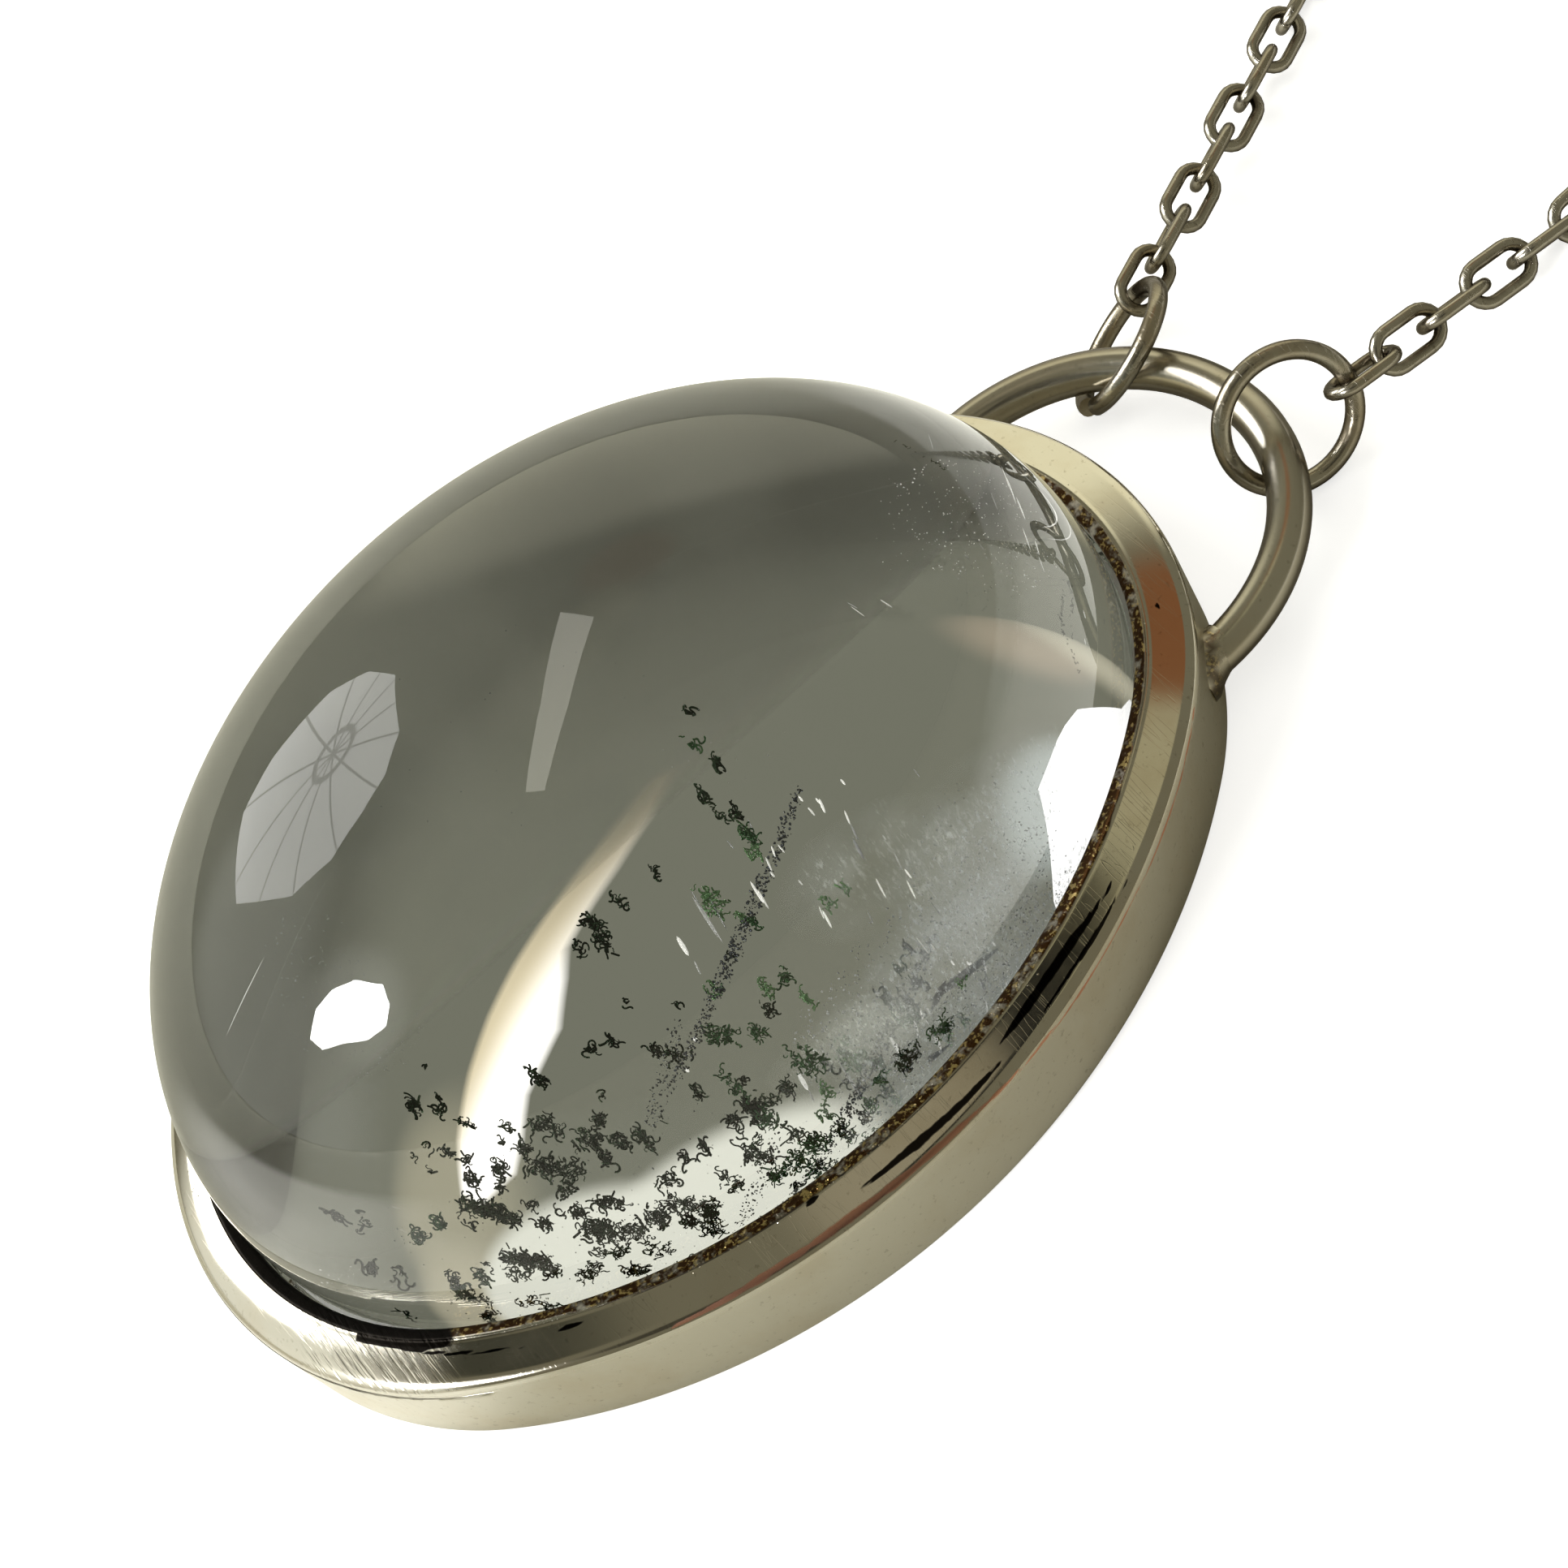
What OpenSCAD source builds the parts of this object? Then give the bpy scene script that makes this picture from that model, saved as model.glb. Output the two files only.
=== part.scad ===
// Oval cabochon pendant in a closed-back silver setting, with two jump rings,
// a fine cable chain of full length and a clasp, all lying on a level surface.
// Millimetres. The origin is the middle of the flat back, +Y runs toward the
// loop and +Z out of the stone.

/* [Setting] */
// Half of the outer width of the silver oval
half_width = 15; // [10:0.1:20]
// Half of the outer length of the silver oval
half_length = 20; // [14:0.1:26]
// Radius of the two end arcs of the oval
end_radius = 12.3; // [8:0.1:14]
// Height of the upright wall
wall_height = 4; // [2:0.1:8]
// Width of the polished rim between the wall and the stone
rim_width = 2; // [0.8:0.05:3]
// Height that the rim gains toward the stone
rim_rise = 0.35; // [0:0.05:1]
// Bevel along the edges of the wall
wall_bevel = 0.2; // [0.05:0.05:0.5]
// Width of the slope that leads from the rim down to the stone
seat_width = 0.4; // [0.1:0.05:0.8]
// Depth of that slope
seat_depth = 0.2; // [0.05:0.05:0.5]
// Thickness of the closed back
back_thickness = 0.8; // [0.5:0.05:2]
// Depth of the lip that holds the stone
lip_depth = 0.75; // [0.4:0.05:1.5]
// Width of the ledge that is hidden under the lip
ledge_width = 0.3; // [0.1:0.05:0.8]

/* [Stone] */
// Height of the dome above the rim
dome_height = 15; // [8:0.1:20]
// Space left between the stone and the silver
stone_gap = 0.12; // [0.05:0.01:0.4]
// Facets round the stone
stone_sides = 112; // [48:4:160]
// Rings of facets from the rim to the top of the dome
dome_rings = 26; // [12:1:40]

/* [Loop] */
// Radius of the loop to the middle of its wire
loop_radius = 7.12; // [4:0.01:10]
// Radius of the loop wire
loop_wire = 0.75; // [0.4:0.01:1.2]
// Distance of the loop centre from the origin
loop_y = 18.06; // [14:0.01:22]
// Height of the loop wire above the surface
loop_z = 2; // [1:0.05:3]
// Radius of the solder at the feet of the loop
solder_radius = 1.15; // [0.8:0.05:1.5]

/* [Jump rings] */
// Radius of a jump ring to the middle of its wire
ring_radius = 2.38; // [1.5:0.01:4]
// Radius of the jump ring wire
ring_wire = 0.34; // [0.2:0.01:0.6]
// Clear space between a jump ring and the first link of its strand
ring_gap = 0.15; // [0.1:0.01:0.3]
// Opening of the sawn joint in the right jump ring, as an angle
slit_right = 4; // [1:0.5:40]
// Opening of the joint in the left jump ring, which was not pressed shut
slit_left = 22; // [1:0.5:40]
// Middle of the right jump ring
ring_right_at = [2.49, 25.54, 2.53];
// Direction that the right jump ring faces
ring_right_faces = [0.892, -0.146, 0.428];
// Middle of the left jump ring
ring_left_at = [-5.12, 24.25, 2.03];
// Direction that the left jump ring faces
ring_left_faces = [-0.579, -0.38, 0.721];
// Turn of the sawn joint in the right jump ring
slit_turn_right = 338; // [0:1:360]
// Turn of the sawn joint in the left jump ring
slit_turn_left = 68; // [0:1:360]

/* [Chain] */
// Outer length of a link
link_length = 3.05; // [2:0.05:6]
// Outer width of a link
link_width = 1.84; // [1:0.02:4]
// Radius of the link wire
link_wire = 0.23; // [0.1:0.01:0.5]
// Clear space between wires that hang in each other
link_gap = 0.12; // [0.1:0.01:0.3]
// Links on the right strand
links_right = 111; // [20:1:120]
// Links on the left strand
links_left = 110; // [20:1:120]
// Height of the links that lie on the surface
chain_z = 0.8; // [0.6:0.01:1.2]
// Roll of the links that face the right side
roll_face = 36; // [0:1:90]
// Roll of the links between them
roll_edge = -54; // [-90:1:0]
// Added roll of the first link on the right strand
twist_right = 22; // [0:1:40]
// Added roll of the first link on the left strand
twist_left = 6; // [0:1:40]
// Point of the right jump ring where its strand starts
start_right = [2.94, 27.87, 2.36];
// Point of the left jump ring where its strand starts
start_left = [-6.44, 26.23, 2.01];
// Heading of the right strand, turned from +Y toward +X
heading_right = 0.5; // [-20:0.1:30]
// Heading of the left strand, turned from +Y toward +X
heading_left = -26; // [-60:0.1:0]
// Slope of the right strand where it comes down from its ring
slope_right = 9.2; // [2:0.1:30]
// Slope of the left strand where it comes down from its ring
slope_left = 4.7; // [2:0.1:30]

/* [Clasp] */
// Radius of the clasp body to the middle of its tube
clasp_radius = 2.3; // [1.5:0.05:4]
// Radius of the clasp tube
clasp_tube = 0.7; // [0.4:0.05:1]
// Radius of the two eyes to the middle of their wire
eye_radius = 0.9; // [0.7:0.05:2]
// Radius of the eye wire
eye_wire = 0.25; // [0.15:0.01:0.4]
// Depth that the middle of the eye wire is sunk from the outside of the tube
eye_sunk = 0.7; // [0.3:0.05:1.2]
// Radius of the thumb stud
stud_radius = 0.4; // [0.2:0.05:0.6]
// Length of the thumb stud beyond the tube
stud_length = 0.8; // [0.3:0.1:2]

/* [Hidden] */
silver = [0.78, 0.76, 0.71];
quartz = [0.82, 0.84, 0.82];

// Oval of four arcs: two small ones at the ends and two large ones at the sides
end_y = half_length - end_radius;
side_radius = (half_width * half_width + half_length * half_length - 2 * half_length * end_radius)
    / (2 * (half_width - end_radius));
side_x = side_radius - half_width;
join_angle = atan2(end_y, side_x);

// Stone levels and insets
rim_z = wall_height + rim_rise;
stone_bottom = back_thickness + stone_gap;
ledge_top = rim_z - lip_depth - stone_gap;
girdle_inset = rim_width - ledge_width + stone_gap;
neck_inset = rim_width + stone_gap;

// Chain measures
half_link = link_length / 2 - link_wire;
pitch = 2 * half_link - 2 * link_wire - link_gap;
first_step = half_link - ring_wire - ring_gap - link_wire;
hook_step = half_link - link_wire - link_gap - eye_wire;
clasp_span = 2 * (clasp_radius + clasp_tube + 2 * eye_radius - eye_sunk);

// Plan of the necklace: two straight strands and one round arc that touches both
half_angle = (heading_right - heading_left) / 2;
middle_heading = (heading_right + heading_left) / 2;
way_right = [sin(heading_right), cos(heading_right)];
way_left = [sin(heading_left), cos(heading_left)];
start_dx = start_left[0] - start_right[0];
start_dy = start_left[1] - start_right[1];
spread = way_right[0] * way_left[1] - way_right[1] * way_left[0];
behind_right = -(start_dx * way_left[1] - start_dy * way_left[0]) / spread;
behind_left = -(start_dx * way_right[1] - start_dy * way_right[0]) / spread;
apex_x = start_right[0] - behind_right * way_right[0];
apex_y = start_right[1] - behind_right * way_right[1];
fall_right = (start_right[2] - chain_z) / sin(slope_right);
fall_left = (start_left[2] - chain_z) / sin(slope_left);
lost_right = fall_right * (1 - cos(slope_right));
lost_left = fall_left * (1 - cos(slope_left));
run_right = first_step + (links_right - 1) * pitch + hook_step;
run_left = first_step + (links_left - 1) * pitch + hook_step;
plan_length = run_right + clasp_span + run_left - lost_right - lost_left;
arc_radius = (plan_length + behind_right + behind_left) / (2 / tan(half_angle) + PI + half_angle * PI / 90);
arc_x = apex_x + arc_radius / sin(half_angle) * sin(middle_heading);
arc_y = apex_y + arc_radius / sin(half_angle) * cos(middle_heading);
straight_right = arc_radius / tan(half_angle) - behind_right;
straight_left = arc_radius / tan(half_angle) - behind_left;

// Place along a strand: x, y, z, heading as an angle from +X, slope
function fall_place(s, start, way, heading, slope) = [
    start[0] + way[0] * s * cos(slope),
    start[1] + way[1] * s * cos(slope),
    start[2] - s * sin(slope),
    90 - heading,
    slope];
function straight_place(s, start, way, heading) = [
    start[0] + way[0] * s,
    start[1] + way[1] * s,
    chain_z,
    90 - heading,
    0];
function arc_place(a, turn) = [
    arc_x + arc_radius * cos(a),
    arc_y + arc_radius * sin(a),
    chain_z,
    a + turn,
    0];
function right_place(s) =
    s < fall_right ? fall_place(s, start_right, way_right, heading_right, slope_right)
    : s - lost_right < straight_right ? straight_place(s - lost_right, start_right, way_right, heading_right)
    : arc_place((s - lost_right - straight_right) / arc_radius * 180 / PI - heading_right, 90);
function left_place(s) =
    s < fall_left ? fall_place(s, start_left, way_left, heading_left, slope_left)
    : s - lost_left < straight_left ? straight_place(s - lost_left, start_left, way_left, heading_left)
    : arc_place(180 - heading_left - (s - lost_left - straight_left) / arc_radius * 180 / PI, -90);

// Point of the oval, drawn in by an inset, in the direction of an even step
function oval_point(inset, t) =
    let (q = (t + 0.5) * 360 / stone_sides,
        a = atan2(sin(q) * half_length, cos(q) * half_width),
        c = abs(cos(a)),
        s = abs(sin(a)),
        side_reach = -side_x * c + sqrt(pow(side_radius - inset, 2) - pow(side_x * s, 2)),
        end_reach = end_y * s + sqrt(pow(end_radius - inset, 2) - pow(end_y * c, 2)),
        on_side = side_reach * s < (side_radius - inset) * sin(join_angle),
        reach = on_side ? side_reach : end_reach)
    [reach * cos(a), reach * sin(a)];

// One level of the stone: inset from the silver oval, height, share of its size
function dome_level(i) =
    let (u = i * 90 / dome_rings)
    [neck_inset, rim_z + dome_height * sin(u), cos(u)];
stone_levels = concat([
    [girdle_inset + 0.15, stone_bottom, 1],
    [girdle_inset, stone_bottom + 0.15, 1],
    [girdle_inset, ledge_top - 0.1, 1],
    [neck_inset, ledge_top, 1]],
    [for (i = [0:dome_rings - 1]) dome_level(i)]);
level_count = len(stone_levels);
stone_points = concat(
    [for (l = stone_levels) for (t = [0:stone_sides - 1]) let (p = oval_point(l[0], t)) [p[0] * l[2], p[1] * l[2], l[1]]],
    [[0, 0, stone_bottom], [0, 0, rim_z + dome_height]]);
foot_point = level_count * stone_sides;
top_point = foot_point + 1;
stone_faces = concat(
    [for (t = [0:stone_sides - 1]) [foot_point, t, (t + 1) % stone_sides]],
    [for (k = [0:level_count - 2]) for (t = [0:stone_sides - 1])
        [k * stone_sides + t, (k + 1) * stone_sides + t, (k + 1) * stone_sides + (t + 1) % stone_sides]],
    [for (k = [0:level_count - 2]) for (t = [0:stone_sides - 1])
        [k * stone_sides + t, (k + 1) * stone_sides + (t + 1) % stone_sides, k * stone_sides + (t + 1) % stone_sides]],
    [for (t = [0:stone_sides - 1])
        [top_point, (level_count - 1) * stone_sides + (t + 1) % stone_sides, (level_count - 1) * stone_sides + t]]);

// Section of the wall and rim, measured inward from the outer oval
module wall_section(radius) {
    polygon([
        [radius - wall_bevel, 0],
        [radius, wall_bevel],
        [radius, wall_height - wall_bevel],
        [radius - wall_bevel, wall_height],
        [radius - rim_width + seat_width, rim_z],
        [radius - rim_width, rim_z - seat_depth],
        [radius - rim_width, rim_z - lip_depth],
        [radius - rim_width + ledge_width, rim_z - lip_depth],
        [radius - rim_width + ledge_width, 0]]);
}

// Upright wall and rim, swept round the four arcs
module wall() {
    for (turn = [0, 180]) {
        rotate([0, 0, turn])
            translate([-side_x, 0, 0])
                rotate([0, 0, -join_angle])
                    rotate_extrude(angle = 2 * join_angle, $fn = 180)
                        wall_section(side_radius);
        rotate([0, 0, turn])
            translate([0, end_y, 0])
                rotate([0, 0, join_angle])
                    rotate_extrude(angle = 180 - 2 * join_angle, $fn = 180)
                        wall_section(end_radius);
    }
}

// Closed back, its edge buried in the wall
module back() {
    inset = 0.9;
    for (turn = [0, 180]) {
        rotate([0, 0, turn])
            translate([0, end_y, 0])
                cylinder(h = back_thickness, r = end_radius - inset, $fn = 180);
    }
    intersection() {
        translate([-side_x, 0, 0])
            cylinder(h = back_thickness, r = side_radius - inset, $fn = 180);
        translate([side_x, 0, 0])
            cylinder(h = back_thickness, r = side_radius - inset, $fn = 180);
        translate([-half_width, -end_y - 6.5, 0])
            cube([2 * half_width, 2 * end_y + 13, back_thickness]);
    }
}

// Loop of round wire with both feet soldered into the wall
module loop() {
    translate([0, loop_y, loop_z])
        rotate([0, 0, -9])
            rotate_extrude(angle = 198, $fn = 180)
                translate([loop_radius, 0])
                    circle(r = loop_wire, $fn = 48);
    for (side = [-1, 1]) {
        translate([side * (loop_radius - 0.02), loop_y - 1, loop_z])
            rotate([-90, 0, side * 4])
                cylinder(h = 1.35, r1 = solder_radius, r2 = loop_wire - 0.04, $fn = 48);
    }
}

module setting() {
    color(silver)
        union() {
            wall();
            back();
            loop();
        }
}

module stone() {
    color(quartz, 0.4)
        polyhedron(points = stone_points, faces = stone_faces, convexity = 4);
}

// Round wire ring that faces along a direction, with a sawn joint
module jump_ring(at, faces, slit, slit_turn) {
    translate(at)
        rotate([0, acos(faces[2] / norm(faces)), atan2(faces[1], faces[0])])
            rotate([0, 0, slit_turn + slit / 2])
                rotate_extrude(angle = 360 - slit, $fn = 120)
                    translate([ring_radius, 0])
                        circle(r = ring_wire, $fn = 36);
}

module jump_ring_left() {
    color(silver)
        jump_ring(ring_left_at, ring_left_faces, slit_left, slit_turn_left);
}

module jump_ring_right() {
    color(silver)
        jump_ring(ring_right_at, ring_right_faces, slit_right, slit_turn_right);
}

// Oval link of round wire, its length along X
module link() {
    bend = link_width / 2 - link_wire;
    reach = (link_length - link_width) / 2;
    for (turn = [0, 180]) {
        rotate([0, 0, turn])
            translate([reach, 0, 0])
                rotate([0, 0, -90])
                    rotate_extrude(angle = 180, $fn = 60)
                        translate([bend, 0])
                            circle(r = link_wire, $fn = 24);
        rotate([0, 0, turn])
            translate([-reach, bend, 0])
                rotate([0, 90, 0])
                    cylinder(h = 2 * reach, r = link_wire, $fn = 24);
    }
}

// Link at a place of the strand, rolled about its own length
module placed_link(place, roll) {
    translate([place[0], place[1], place[2]])
        rotate([0, place[4], place[3]])
            rotate([roll, 0, 0])
                link();
}

module chain_right() {
    color(silver)
        for (k = [0:links_right - 1]) {
            placed_link(right_place(first_step + k * pitch),
                (k % 2 == 0 ? roll_edge : roll_face) + twist_right * pow(0.5, k));
        }
}

module chain_left() {
    color(silver)
        for (k = [0:links_left - 1]) {
            placed_link(left_place(first_step + k * pitch),
                (k % 2 == 0 ? roll_face : roll_edge) + twist_left * pow(0.5, k));
        }
}

// Round clasp with a thumb stud and an eye on each side, turned square to the link in it
module clasp() {
    near = right_place(run_right);
    far = left_place(run_left);
    color(silver)
        translate([(near[0] + far[0]) / 2, (near[1] + far[1]) / 2, chain_z])
            rotate([0, 0, atan2(far[1] - near[1], far[0] - near[0])]) {
                rotate_extrude($fn = 96)
                    translate([clasp_radius, 0])
                        circle(r = clasp_tube, $fn = 36);
                for (side = [-1, 1]) {
                    translate([side * (clasp_span / 2 - eye_radius), 0, 0])
                        rotate([-side * roll_face, 0, 0])
                            rotate_extrude($fn = 60)
                                translate([eye_radius, 0])
                                    circle(r = eye_wire, $fn = 24);
                }
                translate([0, clasp_radius, 0])
                    rotate([-90, 0, 0])
                        cylinder(h = clasp_tube + stud_length, r = stud_radius, $fn = 36);
            }
}

setting();
stone();
jump_ring_left();
jump_ring_right();
chain_left();
chain_right();
clasp();
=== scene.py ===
import math
import random

import bpy
from mathutils import Euler, Matrix, Vector


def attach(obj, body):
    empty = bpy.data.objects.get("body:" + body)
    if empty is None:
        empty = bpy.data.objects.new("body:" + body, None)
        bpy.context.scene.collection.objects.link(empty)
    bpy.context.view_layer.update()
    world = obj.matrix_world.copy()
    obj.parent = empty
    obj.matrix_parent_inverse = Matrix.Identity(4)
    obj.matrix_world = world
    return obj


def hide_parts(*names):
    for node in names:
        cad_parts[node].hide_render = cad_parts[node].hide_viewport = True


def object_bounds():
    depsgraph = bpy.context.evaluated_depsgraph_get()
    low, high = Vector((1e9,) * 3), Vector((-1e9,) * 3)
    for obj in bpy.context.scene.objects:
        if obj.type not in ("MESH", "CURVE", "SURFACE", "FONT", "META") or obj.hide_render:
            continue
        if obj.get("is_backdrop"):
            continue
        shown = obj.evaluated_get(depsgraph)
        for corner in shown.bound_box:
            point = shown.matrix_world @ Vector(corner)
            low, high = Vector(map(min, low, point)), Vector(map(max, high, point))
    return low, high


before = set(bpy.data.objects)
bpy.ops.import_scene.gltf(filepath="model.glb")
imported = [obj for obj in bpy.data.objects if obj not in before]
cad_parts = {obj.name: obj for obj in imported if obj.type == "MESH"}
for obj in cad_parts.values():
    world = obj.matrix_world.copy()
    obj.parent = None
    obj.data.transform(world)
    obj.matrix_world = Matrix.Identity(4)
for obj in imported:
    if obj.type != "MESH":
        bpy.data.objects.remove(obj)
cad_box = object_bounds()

MM = 0.001
scene = bpy.context.scene
scene.view_settings.view_transform = "Standard"


def add_shape(operator, **sizes):
    """Adds a primitive with nothing else selected."""
    bpy.ops.object.select_all(action="DESELECT")
    operator(**sizes)
    return bpy.context.object


def add_node(tree, kind, **settings):
    made = tree.nodes.new(kind)
    for key, value in settings.items():
        setattr(made, key, value)
    return made


def feed(node, inputs):
    """Gives inputs of a node, listed by name or number, a value or the output of another node."""
    for key, value in inputs.items():
        if isinstance(value, bpy.types.NodeSocket):
            node.id_data.links.new(value, node.inputs[key])
        elif node.inputs[key].type == "RGBA":
            node.inputs[key].default_value = (*value, 1)
        else:
            node.inputs[key].default_value = value
    return node.outputs


def maths(operation, *values):
    """A math node on one or two values, each a number or another node's output."""
    tree = next(value.id_data for value in values if isinstance(value, bpy.types.NodeSocket))
    return feed(add_node(tree, "ShaderNodeMath", operation=operation), dict(enumerate(values)))["Value"]


def plus(first, second):
    return maths("ADD", first, second)


def minus(first, second):
    return maths("SUBTRACT", first, second)


def times(first, second):
    return maths("MULTIPLY", first, second)


def vector_maths(operation, way, other):
    made = add_node(way.id_data, "ShaderNodeVectorMath", operation=operation)
    return feed(made, {0: way, 1: other})["Value"]


def smooth_step(value, low, high):
    """Runs from 0 at low to 1 at high, or from 1 to 0 where low is the larger."""
    (start, at_start), (end, at_end) = sorted(((low, 0.0), (high, 1.0)))
    made = add_node(value.id_data, "ShaderNodeMapRange", interpolation_type="SMOOTHSTEP")
    return feed(made, {"Value": value, "From Min": start, "To Min": at_start,
                       "From Max": end, "To Max": at_end})["Result"]


def blend(share, below, above):
    """Mixes two colours, each given as numbers or as another node's output."""
    made = add_node(share.id_data, "ShaderNodeMix", data_type="RGBA")
    return feed(made, {0: share, 6: below, 7: above})[2]


def noise(way, scale, detail=2.0, roughness=0.5):
    made = add_node(way.id_data, "ShaderNodeTexNoise")
    return feed(made, {"Vector": way, "Scale": scale, "Detail": detail, "Roughness": roughness})["Fac"]


def own_place(tree):
    """The place of each point in the object's own axes."""
    return add_node(tree, "ShaderNodeTexCoord").outputs["Object"]


def axes(way):
    return feed(add_node(way.id_data, "ShaderNodeSeparateXYZ"), {"Vector": way})


def attribute(tree, name):
    return add_node(tree, "ShaderNodeAttribute", attribute_name=name).outputs["Fac"]


def store(mesh, name, values):
    """Keeps a number for each vertex of a mesh under a name that its material reads."""
    mesh.attributes.new(name, "FLOAT", "POINT").data.foreach_set("value", values)


def node_material(name):
    material = bpy.data.materials.new(name)
    material.use_nodes = True
    return material, material.node_tree, material.node_tree.nodes["Principled BSDF"]


# Place in metres and turn in degrees, fitted to the outline of the setting in the photo
CAMERA_PLACE, CAMERA_TURN = (0.059651, -0.000779, 0.079686), (31.683, 22.219, 53.018)
camera_data = bpy.data.cameras.new("camera")
camera_data.lens = 67.1
camera_data.sensor_width = 36.0
camera_data.clip_start = 0.002
camera_data.clip_end = 20.0
camera = bpy.data.objects.new("camera", camera_data)
scene.collection.objects.link(camera)
camera.location = CAMERA_PLACE
camera.rotation_euler = Euler([math.radians(angle) for angle in CAMERA_TURN])
scene.camera = camera

# The eye sees white paper. The silver mirrors it darker, with painted shade toward the right and painted
# pools of light by the foot and the loop
PAPER_DARK, PAPER_LIGHT, PAPER_GLOW = (0.80, 0.80, 0.78), (0.84, 0.84, 0.82), 0.70
MIRRORED_PAPER, PAINTED_SHADE_RIGHT, PAINTED_SHADE_EDGES = (0.54, 0.53, 0.44), (0.38, 0.355, 0.27), (0.012, 0.040)
WARM_WHITE = (1.0, 1.0, 0.93)
# Middle, where each painted pool of light is full and where it is gone, in metres
PAINTED_LIGHT_PATCHES = [((0.007, -0.027, 0), 0.007, 0.013), ((0.0, 0.058, 0), 0.032, 0.046)]
table = add_shape(bpy.ops.mesh.primitive_plane_add, size=3.0, location=(0, 0, -0.02 * MM))
table.name = "table"
table_paper, tree, shader = node_material("table_paper")
table_place = own_place(tree)
seen = add_node(tree, "ShaderNodeLightPath").outputs["Is Camera Ray"]
table_axes = axes(table_place)
# Painted shade: the paper that other rays see darkens toward the right, and painted pools of warm light
# brighten it
to_right = plus(table_axes["X"], times(table_axes["Y"], 1.2))
mirrored_shade_and_light = blend(smooth_step(to_right, *PAINTED_SHADE_EDGES), MIRRORED_PAPER, PAINTED_SHADE_RIGHT)
for middle, full, gone in PAINTED_LIGHT_PATCHES:
    near = smooth_step(vector_maths("DISTANCE", table_place, middle), gone, full)
    mirrored_shade_and_light = blend(near, mirrored_shade_and_light, WARM_WHITE)
paper = blend(noise(table_place, 40), PAPER_DARK, PAPER_LIGHT)
feed(shader, {
    "Base Color": blend(seen, mirrored_shade_and_light, paper), "Roughness": 0.9, "Specular IOR Level": 0.1,
    "Emission Color": (1.0, 1.0, 1.0), "Emission Strength": times(seen, PAPER_GLOW)})
table.data.materials.append(table_paper)
table.visible_transmission = False
table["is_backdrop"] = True

# Spots where the sun falls on the paper: middle, where each is full and gone in mm, and brightness
SUN_SPOTS = [(8, 28, 14, 34, 1.3), (2, -48, 12, 28, 1.6)]
sun_spots = []
for x, y, full, gone, strength in SUN_SPOTS:
    spot = add_shape(bpy.ops.mesh.primitive_circle_add, vertices=48, radius=gone * MM, fill_type="NGON",
                     location=(x * MM, y * MM, 0.02 * MM))
    spot.name = f"sun_spot_{len(sun_spots) + 1}"
    sunlit, tree, shader = node_material(spot.name)
    from_middle = vector_maths("DISTANCE", own_place(tree), (0, 0, 0))
    feed(shader, {
        "Base Color": (0.46, 0.44, 0.35), "Roughness": 0.9, "Emission Color": WARM_WHITE,
        "Emission Strength": strength, "Alpha": smooth_step(from_middle, gone * MM, full * MM)})
    spot.data.materials.append(sunlit)
    spot.visible_camera = spot.visible_diffuse = spot.visible_transmission = spot.visible_shadow = False
    spot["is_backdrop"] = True
    sun_spots.append(spot)

# Room. Dim grey walls with paler and darker parts. The stone bends the light
# that comes through it, so what is seen through it has zones of its own.
world = bpy.data.worlds.new("room")
scene.world = world
world.use_nodes = True
room_way = add_node(world.node_tree, "ShaderNodeTexCoord").outputs["Generated"]
ROOM_ZONES = [
    # height and bearing in degrees, full and vanishing angle from it, colour
    (10, 148, 26, 38, (0.95, 0.91, 0.67)),
    (30, 282, 7, 16, (1.30, 1.30, 1.20)),
    (22, 238, 12, 30, (0.90, 0.90, 0.80)),
    (8, 265, 14, 30, (0.95, 0.95, 0.85)),
    (54, 128, 6, 10, (0.21, 0.09, 0.038)),
    (66, 118, 4, 8, (0.40, 0.37, 0.24)),
    (76, 115, 5, 9, (0.33, 0.31, 0.20)),
    (85, 165, 5, 9, (0.31, 0.28, 0.20)),
    (59, 242, 7, 15, (0.05, 0.05, 0.035)),
    (51, 325, 12, 20, (0.055, 0.05, 0.035)),
    (55, 354, 7, 10, (0.01, 0.01, 0.01))]
# The same for what is seen through the stone
THROUGH_ZONES = [
    (50, 130, 4, 14, (0.37, 0.35, 0.25)),
    (35, 130, 6, 13, (0.46, 0.43, 0.31)),
    (34, 150, 12, 15, (0.82, 0.83, 0.72)),
    (34, 165, 10, 13, (0.82, 0.83, 0.72)),
    (47, 252, 5, 14, (0.40, 0.34, 0.25)),
    (32, 260, 9, 19, (0.70, 0.66, 0.50)),
    (41, 212, 3, 9, (0.48, 0.53, 0.50))]


def toward(height, bearing):
    """The direction at a height above the table and a bearing round from +X, in degrees."""
    height, bearing = math.radians(height), math.radians(bearing)
    level = math.cos(height)
    return Vector((level * math.cos(bearing), level * math.sin(bearing), math.sin(height)))


def room_colour(base, zones):
    for height, bearing, full, gone, colour in zones:
        facing = vector_maths("DOT_PRODUCT", room_way, toward(height, bearing))
        share = smooth_step(facing, math.cos(math.radians(gone)), math.cos(math.radians(full)))
        base = blend(share, base, colour)
    return base


ROOM_GREY, THROUGH_GREY, EYE_WHITE = (0.17, 0.158, 0.11), (0.172, 0.176, 0.135), (0.93, 0.93, 0.91)
rays = add_node(world.node_tree, "ShaderNodeLightPath").outputs
outside = room_colour(ROOM_GREY, ROOM_ZONES)
inside = room_colour(THROUGH_GREY, THROUGH_ZONES)
outside = blend(rays["Is Camera Ray"], outside, EYE_WHITE)
feed(world.node_tree.nodes["Background"], {
    "Color": blend(rays["Is Transmission Ray"], outside, inside), "Strength": 1.0})


# Lights. An umbrella light with ribs stands low on the left, a strip of light
# hangs overhead and a small bright window lies toward the pendant's foot. They
# are flat glowing panels, and two more are seen only through the stone.


def on_panel(panel, way):
    """The place in a panel's own axes that is seen at a height and bearing."""
    way = toward(*way)
    return panel.matrix_world.inverted() @ (way / way.dot(panel.location))


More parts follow.
